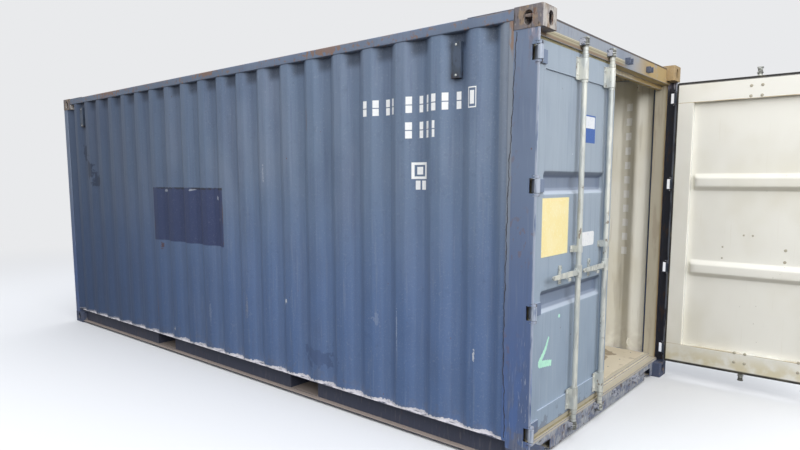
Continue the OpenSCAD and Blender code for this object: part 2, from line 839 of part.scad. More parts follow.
// Solid of a pressed channel with sloped sides and ends, grown by g at its back.
module press_solid(z, g) {
    half = press_h / 2;
    y0 = -panel_y0 + hinge_stile / 8;
    y1 = -panel_y1 - free_stile / 8;
    d = press_depth;
    intersection() {
        run_y(y0 - g, y1 + g) translate([panel_x, z])
            polygon([[g, -half - g], [-panel_t, -half - g], [-d - g, -half + press_slope - g],
                [-d - g, half - press_slope + g], [-panel_t, half + g], [g, half + g]]);
        slab(z - 2 * half, 4 * half) translate([panel_x, 0])
            polygon([[g + eps, y0 - g], [-panel_t, y0 - g], [-d - g, y0 + press_slope - g],
                [-d - g, y1 - press_slope + g], [-panel_t, y1 + g], [g + eps, y1 + g]]);
    }
}

module door_panel() {
    z0 = leaf_z0 + leaf_rail + seat;
    z1 = leaf_z1 - leaf_rail - seat;
    color(paint_cream) difference() {
        union() {
            box_at(panel_x - panel_t, panel_x, -panel_y0 + seat, -panel_y1 - seat, z0, z1);
            for (z = [press_up_z, press_low_z]) intersection() {
                press_solid(z, panel_t);
                box_at(leaf_back, panel_x, -panel_y0 + seat, -panel_y1 - seat, z0, z1);
            }
        }
        for (z = [press_up_z, press_low_z]) press_solid(z, 0);
        for (z = [press_up_z, press_low_z]) intersection() {
            press_solid(z, 0.01);
            box_at(panel_x - eps / 2, panel_x + eps, -panel_y0, -panel_y1, z0, z1);
        }
    }
}

module door_gasket() {
    x1 = leaf_x - seal_in;
    color(rubber_dark) difference() {
        box_at(x1 - seal_t, x1, -leaf_hinge_y - seal_reach, -leaf_free_y + seal_free,
            leaf_z0 - seal_reach, leaf_z1 + seal_reach);
        box_at(x1 - seal_t - eps, x1 + eps, -leaf_hinge_y - seat, -leaf_free_y + seat,
            leaf_z0 - seat, leaf_z1 + seat);
    }
}

// Blade on the leaf with a knuckle round the pin.
module hinge_blades() {
    face = leaf_x + seat;
    front = face + blade_t;
    color(paint_blue) for (z = hinge_zs) slab(z - knuckle_half, 2 * knuckle_half)
        translate([pin_x, -pin_y]) difference() {
            union() {
                circle(r = knuckle_r);
                polygon([[-knuckle_r * 7 / 8, -knuckle_r / 4], [face - pin_x, blade_foot],
                    [face - pin_x, blade_reach], [front - pin_x, blade_reach],
                    [front - pin_x, blade_bend], [knuckle_r / 8, knuckle_r * 3 / 4]]);
            }
            circle(r = pin_r + pin_play);
        }
}

// Flanged housing that holds a rod, standing on the plane at face.
module guide(y, z0, h, face, reach) {
    slab(z0, h) difference() {
        union() {
            translate([rod_x, y]) circle(r = guide_r);
            translate([face, y - guide_r]) square([rod_x - face, 2 * guide_r]);
            translate([face, y - reach]) square([flange_t, 2 * reach]);
        }
        translate([rod_x, y]) circle(r = rod_r + rod_play);
    }
}

module rod_guides() {
    color(zinc) for (y = [-rod_out_y, -rod_in_y]) {
        guide(y, guide_top_z, guide_h, leaf_x + seat, flange_reach);
        guide(y, guide_low_z, guide_h, leaf_x + seat, flange_reach);
        guide(y, mid_guide_z - mid_guide_h / 2, mid_guide_h, panel_x + seat, mid_reach);
    }
}

// Catch: base plate, a shelf under the handle with a turned-down lip, and a seal ring behind.
module handle_catch(y) {
    face = panel_x + seat;
    low = handle_z - handle_w / 2 - catch_play;
    lip_x = handle_x + handle_t;
    ring_z = handle_z + handle_w / 2 + ring_eye;
    ring_t = 2 * flange_t;
    half = catch_w / 2;
    translate([0, y, 0]) {
        box_at(face, face + flange_t, -half, half, low - catch_tail, ring_z + ring_eye);
        box_at(face, lip_x + catch_t, -half, half, low - catch_t, low);
        box_at(lip_x, lip_x + catch_t, -half, half, low - 3 * catch_t, low);
        translate([face + ring_t, 0, ring_z]) rotate([0, -90, 0]) difference() {
            cylinder(r = ring_eye, h = ring_t);
            translate([0, 0, -eps]) cylinder(r = ring_eye / 2, h = ring_t + 2 * eps);
        }
    }
}

module handle_catches() {
    color(zinc) for (y = [-rod_out_y, -rod_in_y]) handle_catch(y - catch_y);
}

// Ribbed cam head of a rod, centred on the rod axis.
module cam_head(z0) {
    web = 8;
    slab(z0, web) circle(r = cam_r);
    slab(z0 + cam_h - web, web) circle(r = cam_r);
    slab(z0, cam_h) intersection() {
        circle(r = cam_r);
        translate([-cam_r, -web]) square([2 * cam_r, 2 * web]);
    }
}

module collar(z0) {
    slab(z0, collar_h) circle(r = collar_r);
}

// Lock rod of the left door with cam heads, collars, hub and handle bolt.
module lock_rod(y) {
    hub_x = handle_x - rod_x - 1;
    lug_d = 12;
    lug_over = 14;
    lug_half = 22;
    head_r = bolt_r + 5;
    head_t = 4;
    color(zinc) translate([rod_x, y, 0]) difference() {
        union() {
            slab(rod_z0, rod_z1 - rod_z0) circle(r = rod_r);
            cam_head(rod_z0);
            cam_head(rod_z1 - cam_h);
            collar(guide_low_z - collar_gap - collar_h);
            collar(guide_low_z + guide_h + collar_gap);
            collar(guide_top_z - collar_gap - collar_h);
            collar(guide_top_z + guide_h + collar_gap);
            slab(handle_z - hub_h / 2, hub_h) circle(r = hub_r);
            box_at(hub_x - lug_d, hub_x, -bolt_y - lug_over, 0, handle_z - lug_half,
                handle_z + lug_half);
            translate([hub_x - lug_d, -bolt_y, handle_z]) rotate([0, 90, 0])
                cylinder(r = bolt_r, h = lug_d + handle_t + 2 + head_t);
            translate([hub_x + handle_t + 2, -bolt_y, handle_z]) rotate([0, 90, 0])
                cylinder(r = head_r, h = head_t);
        }
        slab(rod_z0 - eps, rod_z1 - rod_z0 + 2 * eps) circle(r = rod_bore_r);
    }
}

// Flat handle on the hub bolt, lying across the leaf towards the hinges.
module lock_handle(y) {
    near = bolt_y - handle_w / 2;
    tip = handle_reach - handle_tip_w / 2;
    neck = catch_y + catch_w;
    hw = handle_w / 2;
    tw = handle_tip_w / 2;
    color(zinc) translate([handle_x, y, handle_z]) rotate([90, 0, 90]) linear_extrude(handle_t)
        difference() {
            union() {
                polygon([[-near, -hw], [-near, hw], [-neck, hw], [-tip, tw], [-tip, -tw],
                    [-neck, -hw]]);
                translate([-tip, 0]) circle(r = tw);
            }
            translate([-bolt_y, 0]) circle(r = bolt_r + bolt_play);
            translate([-tip, 0]) circle(r = tw / 2);
        }
}

module left_door_frame() { door_frame(); }
module left_door_panel() { door_panel(); }
module left_door_gasket() { door_gasket(); }
module left_hinge_blades() { hinge_blades(); }
module left_rod_guides() { rod_guides(); }
module left_handle_catches() { handle_catches(); }
module left_outer_rod() { lock_rod(-rod_out_y); }
module left_inner_rod() { lock_rod(-rod_in_y); }
module left_outer_handle() { lock_handle(-rod_out_y); }
module left_inner_handle() { lock_handle(-rod_in_y); }
module right_door_frame() { as_right() door_frame(); }
module right_door_panel() { as_right() door_panel(); }
module right_door_gasket() { as_right() door_gasket(); }
module right_hinge_blades() { as_right() hinge_blades(); }
module right_rod_guides() { as_right() rod_guides(); }
module right_handle_catches() { as_right() handle_catches(); }
module right_outer_rod() { as_right() lock_rod(-rod_out_y); }
module right_inner_rod() { as_right() lock_rod(-rod_in_y); }
module right_outer_handle() { as_right() lock_handle(-rod_out_y); }
module right_inner_handle() { as_right() lock_handle(-rod_in_y); }

lower_corner_castings();
upper_corner_castings();
front_corner_posts();
door_corner_posts();
hinge_lugs();
top_side_rails();
bottom_side_rails();
front_top_rail();
front_bottom_rail();
door_header();
door_sill();
header_keepers();
sill_keepers();
left_side_wall();
right_side_wall();
front_wall();
roof_panel();
floor_boards();
cross_members();
fork_pockets();
vent_covers();
lashing_rings();
roof_corner_plates();
roof_header_plates();
left_door_frame();
left_door_panel();
left_door_gasket();
left_hinge_blades();
left_rod_guides();
left_handle_catches();
left_outer_rod();
left_inner_rod();
left_outer_handle();
left_inner_handle();
right_door_frame();
right_door_panel();
right_door_gasket();
right_hinge_blades();
right_rod_guides();
right_handle_catches();
right_outer_rod();
right_inner_rod();
right_outer_handle();
right_inner_handle();
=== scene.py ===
"""Looks of a twenty-foot dry freight container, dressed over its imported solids."""
import logging
from dataclasses import dataclass, field
from enum import Enum
from functools import partial, reduce
from math import radians
from typing import Sequence, Union

import bmesh
import bpy
import numpy as np
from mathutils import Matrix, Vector


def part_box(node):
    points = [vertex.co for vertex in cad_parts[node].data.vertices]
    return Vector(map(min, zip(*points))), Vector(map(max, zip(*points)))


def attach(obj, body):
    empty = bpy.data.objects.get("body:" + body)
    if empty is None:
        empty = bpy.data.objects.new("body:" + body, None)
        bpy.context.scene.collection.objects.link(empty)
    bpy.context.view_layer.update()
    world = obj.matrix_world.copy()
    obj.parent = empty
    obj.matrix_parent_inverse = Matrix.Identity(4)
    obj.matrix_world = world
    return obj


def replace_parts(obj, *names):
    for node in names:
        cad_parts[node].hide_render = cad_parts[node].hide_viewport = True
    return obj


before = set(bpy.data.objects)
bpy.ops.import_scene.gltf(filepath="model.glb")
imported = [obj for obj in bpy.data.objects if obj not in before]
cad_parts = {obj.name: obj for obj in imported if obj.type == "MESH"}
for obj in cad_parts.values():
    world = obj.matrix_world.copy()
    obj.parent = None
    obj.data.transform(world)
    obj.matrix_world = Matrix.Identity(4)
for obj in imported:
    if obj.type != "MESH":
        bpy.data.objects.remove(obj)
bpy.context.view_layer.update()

log = logging.getLogger("container")

Socket = bpy.types.NodeSocket
Amount = Union[float, Socket]
Points = np.ndarray
Span = tuple[float, float]
Stretch = Union[float, tuple[float, float, float]]


class Slot(Enum):
    """Material slots of the record."""

    PAINT = "blue_paint"
    LINING = "cream_paint"
    CASTING = "casting_rust"
    ZINC = "zinc_gear"
    RUBBER = "gasket_rubber"
    PLY = "plywood"
    VENT = "vent_plastic"


class Hand(Enum):
    """The two door leaves."""

    LEFT = "left"
    RIGHT = "right"


BOX = "container"

# Planes and edges of the steel box, in metres from the middle of its plan and the ground.
SKIN_Y = 1.216
WALL_Y = 1.211
RAIL_LOW = 2.5247
SILL_TOP = 0.1573
PIN_X = 3.008
PIN_Y = 1.199
LEAF_FRONT = 2.958
PANEL_FRONT = 2.950
# Places of the rods on a leaf, and heights of their end guides and handle hubs.
ROD_YS = (0.165, 0.595)
GUIDE_ZS = (2.343, 0.271)
HUB_Z = 1.243
# Thickness of the walls' sheet steel and of stuck or sprayed films.
SHEET = 0.002
FILM = 0.0003
# Angle in degrees above which an edge of a solid counts as an edge.
EDGE_ANGLE = 38.0


def linear(code: str) -> tuple[float, float, float, float]:
    """Turns an sRGB hex code into linear light.

    Args:
        code: colour as #RRGGBB.

    Returns:
        Red, green, blue and alpha, linear.
    """
    srgb = np.array([int(code[i:i + 2], 16) for i in (1, 3, 5)]) / 255
    light = np.where(srgb <= 0.04045, srgb / 12.92, ((srgb + 0.055) / 1.055) ** 2.4)
    return (*(float(v) for v in light), 1.0)


def add_node(tree: bpy.types.NodeTree, kind: str, inputs: dict | None = None,
             **settings: object) -> bpy.types.Node:
    """Adds one node with its settings, and fills or links its inputs.

    Args:
        tree: node tree it goes into.
        kind: the node's type.
        inputs: input name or number, with a value or a socket to link.
        settings: the node's own properties.

    Returns:
        The new node.
    """
    node = tree.nodes.new(kind)
    for name, value in settings.items():
        setattr(node, name, value)
    for key, value in (inputs or {}).items():
        if isinstance(value, Socket):
            tree.links.new(value, node.inputs[key])
        else:
            node.inputs[key].default_value = value
    return node


@dataclass
class Coat:
    """A finish laid up in layers, as paint, dirt and wear are, placed by Object coordinates."""

    name: str
    base: str = "#808080"
    rough: Amount = 0.5
    metal: float = 0.0

    def __post_init__(self) -> None:
        """Starts the bare surface, with sockets for places and normals."""
        self.skin = bpy.data.materials.new(self.name)
        self.skin.use_nodes = True
        self.tree = self.skin.node_tree
        self.tree.nodes.clear()
        source = self.node("TexCoord")
        self.place = source.outputs["Object"]
        self.at = dict(zip("xyz", self.node("SeparateXYZ", {"Vector": self.place}).outputs))
        normal = self.node("SeparateXYZ", {"Vector": source.outputs["Normal"]})
        self.normal = dict(zip("xyz", normal.outputs))
        self.colour: Socket | tuple = linear(self.base)
        self.height: Socket | None = None

    def layers(self) -> None:
        """Lays the finish's layers; each kind of finish has its own."""

    def node(self, kind: str, inputs: dict | None = None, **settings: object) -> bpy.types.Node:
        """Adds a shader node to this finish; see add_node."""
        return add_node(self.tree, "ShaderNode" + kind, inputs, **settings)

    def joined(self, operation: str, masks: Sequence[Amount]) -> Socket:
        """Mask that an operation makes of several, two at a time.

        Args:
            operation: MULTIPLY or MAXIMUM.
            masks: the masks, or plain shares.

        Returns:
            The mask.
        """
        return reduce(lambda mask, more: self.node("Math", {0: mask, 1: more},
                                                   operation=operation).outputs[0], masks)

    def ramp(self, value: Socket, low: float, high: float) -> Socket:
        """Mask that rises smoothly from 0 where value is low to 1 where it is high."""
        return self.node("MapRange", {0: value, 1: low, 2: high},
                         interpolation_type="SMOOTHSTEP").outputs[0]

    def along(self, axis: str, low: float, high: float) -> Socket:
        """Mask that rises from 0 to 1 between two planes across an axis."""
        return self.ramp(self.at[axis], low, high)

    def facing(self, axis: str, low: float, high: float) -> Socket:
        """Mask of faces whose normal has that share along an axis."""
        return self.ramp(self.normal[axis], low, high)

    def times(self, *masks: Amount) -> Socket:
        """Mask of where all the given masks hold."""
        return self.joined("MULTIPLY", masks)

    def either(self, *masks: Socket) -> Socket:
        """Mask of where any of the given masks holds."""
        return self.joined("MAXIMUM", masks)

    def moved(self, size: float, stretch: Stretch, shift: Sequence[float]) -> Socket:
        """Places for a pattern.

        Args:
            size: width of a blotch or cell in metres.
            stretch: how many times longer it is along z, or along x, y and z.
            shift: how far the pattern is moved.

        Returns:
            The places, one unit a blotch.
        """
        long = stretch if isinstance(stretch, tuple) else (1, 1, stretch)
        return self.node("Mapping", {"Vector": self.place, "Location": shift, "Scale": tuple(
            1 / (size * s) for s in long)}).outputs[0]

    def pattern(self, size: float, low: float = 0.45, high: float = 0.6, stretch: Stretch = 1,
                detail: float = 2.0, seed: float = 0.0) -> Socket:
        """Mask of irregular blotches.

        Args:
            size: width of a blotch in metres.
            low: noise value where the mask is 0.
            high: noise value where the mask is 1.
            stretch: how many times longer a blotch is along z, or along x, y and z.
            detail: octaves of finer noise.
            seed: moves the pattern to another place.

        Returns:
            The mask.
        """
        places = self.moved(size, stretch, (seed * 3.1, seed * 1.7, seed * 2.3))
        noise = self.node("TexNoise", {"Vector": places, "Scale": 1.0, "Detail": detail})
        return self.ramp(noise.outputs[0], low, high)

    def specks(self, size: float, radius: float, stretch: Stretch = 1, seed: float = 0.0) -> Socket:
        """Mask of separate dots, one in each cell of a scattered net.

        Args:
            size: mean distance between dots in metres.
            radius: dot radius as a share of that distance.
            stretch: how many times longer a dot is along z, or along x, y and z.
            seed: moves the pattern to another place.

        Returns:
            The mask.
        """
        places = self.moved(size, stretch, (seed * 2.9, seed * 1.3, seed * 3.7))
        cells = self.node("TexVoronoi", {"Vector": places, "Scale": 1.0})
        return self.ramp(cells.outputs["Distance"], radius, radius * 0.6)

    def band(self, axis: str, low: float, high: float, soft: float) -> Socket:
        """Mask of the space between two planes, fading outside them over the soft width."""
        return self.times(self.along(axis, low - soft, low), self.along(axis, high + soft, high))

    def patch(self, x: Span | None, y: Span | None, z: Span | None, soft: float) -> Socket:
        """Mask of a box with soft edges; a side given as None is open."""
        sides = zip("xyz", (x, y, z))
        return self.times(*(self.band(axis, *span, soft) for axis, span in sides if span))

    def ragged(self, mask: Socket, size: float, amount: float = 0.6, seed: float = 0.0) -> Socket:
        """The mask with its soft edge broken up by blotches.

        Args:
            mask: a mask with soft edges.
            size: width of the blotches in metres.
            amount: how far the blotches push the edge.
            seed: moves the blotches.

        Returns:
            A crisper, irregular mask.
        """
        noise = self.pattern(size, 0.3, 0.7, detail=4.0, seed=seed)
        pushed = self.node("Math", {0: noise, 1: amount, 2: mask},
                           operation="MULTIPLY_ADD").outputs[0]
        middle = 0.5 + amount / 2
        return self.ramp(pushed, middle - 0.08, middle + 0.08)

    def spot(self, centre: Sequence[float], radii: Sequence[float], size: float, seed: float = 0.0,
             amount: float = 0.9) -> Socket:
        """Mask of one irregular stain: an ellipsoid that fades outwards, its edge broken up.

        Args:
            centre: its middle.
            radii: its half widths along x, y and z.
            size: width of the blotches in metres.
            seed: moves the blotches.
            amount: how far the blotches push the edge.

        Returns:
            The mask.
        """
        near = self.node("Mapping", {"Vector": self.place, "Scale": tuple(1 / r for r in radii),
                                     "Location": tuple(-c / r for c, r in zip(centre, radii))})
        away = self.node("VectorMath", {0: near.outputs[0]}, operation="LENGTH").outputs["Value"]
        return self.ragged(self.ramp(away, 1.35, 0.1), size, amount, seed)

    def lay(self, colour: str, strength: float, *masks: Socket, rough: float | None = None) -> None:
        """Lays a colour over what is there.

        Args:
            colour: sRGB hex code of the layer.
            strength: how much it covers.
            masks: it lies where all of them hold.
            rough: roughness of the layer, where it differs.
        """
        share = self.times(*masks, *([strength] if strength < 1 else []))
        self.colour = self.node("Mix", {0: share, 6: self.colour, 7: linear(colour)},
                                data_type="RGBA").outputs[2]
        if rough is not None:
            self.rough = self.node("Mix", {0: share, 2: self.rough, 3: rough},
                                   data_type="FLOAT").outputs[0]

    def emboss(self, mask: Socket, millimetres: float) -> None:
        """Raises the surface where a mask is, on top of what was raised before.

        Args:
            mask: the raised places.
            millimetres: how far, or how deep where it is negative.
        """
        if self.height is None:
            self.height = self.times(mask, millimetres)
        else:
            self.height = self.node("Math", {0: mask, 1: millimetres, 2: self.height},
                                    operation="MULTIPLY_ADD").outputs[0]

    def material(self) -> bpy.types.Material:
        """Lays the layers and joins them to the shader.

        Returns:
            The material.
        """
        self.layers()
        inputs = {"Base Color": self.colour, "Roughness": self.rough, "Metallic": self.metal}
        if self.height is not None:
            inputs["Normal"] = self.node("Bump", {"Height": self.height, "Distance": 0.001,
                                                  "Strength": 1.0}).outputs[0]
        self.node("OutputMaterial", {"Surface": self.node("BsdfPrincipled", inputs).outputs[0]})
        return self.skin


@dataclass
class MarineEnamel(Coat):
    """Sprayed marine enamel on weathering steel: chalky, streaked by rain, chipped to rust."""

    base: str = "#6C7B94"
    deep: str = "#4C6290"
    chalk: str = "#7E8A9F"
    shade: str = "#52617F"
    rust: str = "#6E4630"
    chips: float = 0.05
    low_dirt: float = 0.5

    def layers(self) -> None:
        """Lays the paint, its fading, streaks, chips and road dirt."""
        # Broad fading, about 0.8 m wide and taller than wide; the lower half has kept its colour.
        self.lay(self.chalk, 0.5, self.pattern(0.55, 0.42, 0.68, 1.8, 3), rough=0.6)
        self.lay(self.deep, 0.85, self.along("z", 1.9, 0.6))
        self.lay(self.shade, 0.3, self.pattern(0.3, 0.5, 0.7, 2.2, 3, 2))
        # Rain streaks 20 mm wide and most of a metre long.
        self.lay(self.shade, 0.3, self.pattern(0.022, 0.52, 0.72, 28, 2, 3))
        self.lay(self.chalk, 0.3, self.pattern(0.016, 0.56, 0.74, 20, 2, 4))
        # Small pale scuffs in a few places, drawn coarser than the real 2 mm so that they show.
        self.lay("#B9C1CF", 0.6, self.specks(0.09, 0.022, 2, 5),
                 self.pattern(0.4, 0.56, 0.66, seed=10))
        chips = self.times(self.specks(0.11, self.chips, 1.4, 6),
                           self.pattern(0.35, 0.5, 0.62, seed=7))
        self.lay(self.rust, 0.85, chips, rough=0.8)
        dirt = self.ragged(self.along("z", 0.3, 0.1), 0.07, 0.9, 8)
        self.lay("#6A6C76", self.low_dirt, dirt, rough=0.75)
        # Orange peel 9 mm across, and shallow waves of the sheet.
        self.emboss(self.pattern(0.009, 0.3, 0.7, detail=0), 0.1)
        self.emboss(self.pattern(0.21, 0.3, 0.7, detail=1, seed=9), 1.6)
        self.emboss(chips, -0.3)


@dataclass
class SidePaint(MarineEnamel):
    """Marine enamel of the long wall, with the marks that years of handling left on this side."""

    def layers(self) -> None:
        """Adds painted light and shade, the painted-over patch, rust, scuffs and stains."""
        super().layers()
        near = (-1.3, -1.1)
        # Painted shade darkens the recesses high up; painted light brightens them low down, where
        # they show less shade.
        recess = self.along("y", -1.203, -1.178)
        self.lay("#44526E", 0.15, recess, self.along("z", 1.2, 2.2))
        self.lay("#6F86AE", 0.3, recess, self.along("z", 1.9, 0.8))
        # Painted shadow: the heads of the recesses are darkened where the rail's overhang shades
        # them.
        self.lay("#1C2638", 0.62, recess, self.along("z", 2.405, 2.47))
        self.lay("#878F9B", 0.65, self.band("x", 2.762, 2.83, 0.004), self.along("z", 1.0, 2.4),
                 rough=0.7)
        self.lay("#2C3660", 0.88, self.patch((-1.08, 0.065), near, (1.1, 1.6), 0.005), rough=0.6)
        rim = self.times(self.patch((-1.083, 0.068), near, (1.588, 1.604), 0.004),
                         self.pattern(0.05, 0.42, 0.56, detail=4, seed=11))
        self.lay("#33302F", 0.8, rim, rough=0.85)
        sides = self.either(self.patch((-1.083, -1.07), near, (1.1, 1.6), 0.004),
                            self.patch((0.055, 0.068), near, (1.12, 1.6), 0.004))
        self.lay("#564A4E", 0.7, sides, self.pattern(0.08, 0.42, 0.56, 2, 4, 12))
        # Centre x and z, half width, half height, colour, strength.
        stains = (
            (-0.984, 1.044, 0.022, 0.035, "#5E3B30", 0.9),
            (0.635, 1.72, 0.006, 0.09, "#C5CBD6", 0.6), (1.143, 2.115, 0.01, 0.11, "#75594C", 0.6),
            (-1.09, 0.435, 0.009, 0.18, "#6A4638", 0.85),
            (-0.178, 0.49, 0.018, 0.12, "#8C9AB4", 0.45),
            (0.376, 0.61, 0.013, 0.12, "#9C9AA0", 0.4),
            (0.884, 0.732, 0.016, 0.022, "#D8DADD", 0.8),
            (-0.789, 0.251, 0.01, 0.02, "#D8DADD", 0.8), (2.015, 0.7, 0.006, 0.17, "#A3AFC6", 0.5),
            (2.62, 0.62, 0.008, 0.05, "#D4D6DA", 0.7), (1.82, 0.73, 0.035, 0.045, "#8E9BB4", 0.35),
            (-0.9, 1.575, 0.03, 0.02, "#BFC6D2", 0.8), (-0.05, 1.52, 0.016, 0.02, "#C5CBD6", 0.6),
            (-0.02, 1.33, 0.012, 0.016, "#C5CBD6", 0.6),
            (-0.42, 1.585, 0.04, 0.012, "#B9C0CC", 0.7), (1.233, 0.357, 0.22, 0.1, "#46577B", 0.6),
            (-2.6, 1.99, 0.06, 0.1, "#2B333F", 0.9), (-2.46, 1.8, 0.09, 0.13, "#2B333F", 0.9),
            (-2.36, 1.67, 0.09, 0.08, "#2B333F", 0.9), (2.45, 1.25, 0.006, 0.16, "#7D8BA6", 0.5))
        for number, (x, z, wide, tall, colour, strength) in enumerate(stains):
            size = max(0.012, min(0.06, wide * 0.8))
            self.lay(colour, strength,
                     self.spot((x, -1.19, z), (wide, 0.2, tall), size, 20 + number))
        # Pale dust caught in a thin line where each recess meets the rail.
        foot = self.ragged(self.patch(None, (-1.206, -1.15), (0.15, 0.162), 0.02), 0.02, 0.8, 35)
        self.lay("#D9D6D8", 0.85, foot, rough=0.9)
        # The far end stands shaded and grimy.
        self.lay("#2E3D58", 0.68, self.along("x", 0.9, -2.9))


@dataclass
class CreamLining(Coat):
    """Sprayed cream lining paint of the inside: flat, dusty low down, scuffed by cargo."""

    base: str = "#EBE8DB"
    rough: Amount = 0.55
    shade: str = "#D3CDBD"
    gloom: float = 0.3

    def layers(self) -> None:
        """Lays the paint with its painted shade high up, yellowing, scuffs and dust."""
        # Painted shade: the lining darkens towards the roof.
        self.lay(self.shade, self.gloom, self.along("z", 1.1, 2.5))
        self.lay("#C6B88F", 0.35, self.pattern(0.4, 0.5, 0.75, 1.6, 3, 1))
        self.lay("#A79C86", 0.3, self.pattern(0.03, 0.58, 0.72, 14, 2, 2))
        self.lay("#8A7B66", 0.8, self.specks(0.13, 0.07, seed=3),
                 self.pattern(0.4, 0.5, 0.6, seed=4))
        dust = self.times(self.along("z", 0.5, 0.16),
                          self.pattern(0.07, 0.3, 0.65, detail=4, seed=5))
        self.lay("#9A8C76", 0.3, dust, rough=0.8)
        self.emboss(self.pattern(0.009, 0.3, 0.7, detail=0), 0.08)


@dataclass
class PostPaint(MarineEnamel):
    """Marine enamel of posts, rails, header and sill: blue outside, cream lining paint inside."""

    lined: bool = True
    flange: bool = False
    inner: tuple[float, float] = (2.905, 1.163)
    scraped: float = 0.75
    edged: float = 0.55

    def layers(self) -> None:
        """Adds the cream inside, rust along the edges, and dust."""
        super().layers()
        if self.flange:
            up = self.times(self.facing("z", 0.7, 0.9), self.band("z", 0.145, 0.175, 0.002))
            self.lay("#DEDADD", 0.95, up, self.pattern(0.02, 0.3, 0.5, (3, 1, 1), 4, 46), rough=0.9)
            foot = self.times(self.facing("z", 0.7, 0.9), self.along("z", 0.12, 0.05))
            self.lay("#A89A90", 0.85, foot, rough=0.9)
        edge = self.times(self.pattern(0.03, 0.56, 0.64, 2, 4, 41),
                          self.pattern(0.5, 0.46, 0.6, seed=42))
        self.lay("#7B5A48", self.edged, edge, rough=0.85)
        scrapes = self.times(self.pattern(0.012, 0.6, 0.66, 9, 3, 43), self.along("z", 1.3, 0.2))
        self.lay("#AFA69B", self.scraped, scrapes)
        if self.lined:
            deep, wide = self.inner
            inside = self.times(self.band("x", -2.95, deep, 0.001),
                                self.band("y", -wide, wide, 0.001),
                                self.band("z", 0.13, 2.56, 0.001))
            self.lay("#CFC7B2", 0.96, inside)
            stains = self.times(inside, self.pattern(0.05, 0.5, 0.66, 6, 4, 44))
            self.lay("#8D6B4A", 0.25, stains, rough=0.8)


@dataclass
class HeaderPaint(PostPaint):
    """Enamel of the door header: stained tan towards one end, a rusty line along its top edge."""

    def layers(self) -> None:
        """Adds the tan end, the olive underside and the dark top edge."""
        super().layers()
        fade = self.along("y", 0.15, 0.72)
        self.lay("#B09662", 0.92, fade, self.pattern(0.1, 0.15, 0.45, (1, 2, 1), 4, 45), rough=0.85)
        self.lay("#B7A477", 0.85, self.facing("z", -0.5, -0.8), rough=0.85)
        # Over the closed leaf the foot of the face is dusty olive, with a pale and two brown lines.
        face = self.times(self.along("x", 2.95, 2.96), self.along("y", 0.22, 0.05))
        self.lay("#A79E82", 0.9, face, self.along("z", 2.501, 2.497), rough=0.85)
        lines = ((2.494, 2.497, "#CFCAB8", 0.8), (2.481, 2.484, "#6E6450", 0.6),
                 (2.452, 2.470, "#7E6757", 0.75))
        for low, high, colour, strength in lines:
            self.lay(colour, strength, face, self.band("z", low, high, 0.001))
        self.lay("#4A3B2E", 0.85, self.along("z", 2.557, 2.561), self.along("x", 2.93, 2.95),
                 rough=0.8)


@dataclass
class KeeperPaint(MarineEnamel):
    """Enamel of the cam keepers, rubbed to bright steel where the cams of the closed leaf bear."""

    def layers(self) -> None:
        """Adds the bright rubbed faces."""
        super().layers()
        used = self.either(self.along("y", -0.02, -0.06), self.along("z", 1.0, 0.5))
        self.lay("#C3C6D0", 0.85, used, self.pattern(0.025, 0.36, 0.54, detail=3, seed=91),
                 rough=0.45)
        self.lay("#3A3A44", 0.7, self.pattern(0.012, 0.56, 0.64, detail=3, seed=92))


@dataclass
class SillPaint(PostPaint):
    """Enamel of the door sill, scraped pale by forks and boots, dust on its top."""

    def layers(self) -> None:
        """Adds the scraped face and the dusty top."""
        super().layers()
        face = self.along("x", 2.935, 2.95)
        rubbed = self.pattern(0.05, 0.36, 0.58, (1, 2.5, 1), 4, 71)
        self.lay("#9DA2AB", 0.8, face, rubbed, rough=0.75)
        self.lay("#C9C8C4", 0.85, face, self.pattern(0.008, 0.56, 0.64, 7, 3, 72))
        self.lay("#5A4A3E", 0.7, face, self.pattern(0.03, 0.58, 0.66, (1, 2, 1), 4, 73))
        self.lay("#CFC6B2", 0.85, self.facing("z", 0.6, 0.9), rough=0.9)
        self.lay("#C4BAA4", 0.85, face, self.along("z", 0.12, 0.134), rough=0.9)


@dataclass
class TopRailPaint(PostPaint):
    """Enamel of the top rails: greyed by weather, rubbed to rust where spreaders land."""

    def layers(self) -> None:
        """Adds the grey weathering and the rubbed places."""
        super().layers()
        self.lay("#66707F", 0.45, self.pattern(0.4, 0.3, 0.6, (3, 1, 1), 3, 81), rough=0.7)
        for number, (x, half) in enumerate(((1.32, 0.22), (-0.1, 0.16), (-1.9, 0.30))):
            rubbed = self.spot((x, -1.2, 2.578), (half, 0.2, 0.045), 0.035, 82 + number, 1.1)
            self.lay("#8C6E5A", 0.75, rubbed, rough=0.85)
        upper = self.times(self.along("z", 2.574, 2.584),
                           self.pattern(0.06, 0.46, 0.58, (3, 1, 1), 4, 85))
        self.lay("#8D8078", 0.8, upper, rough=0.85)


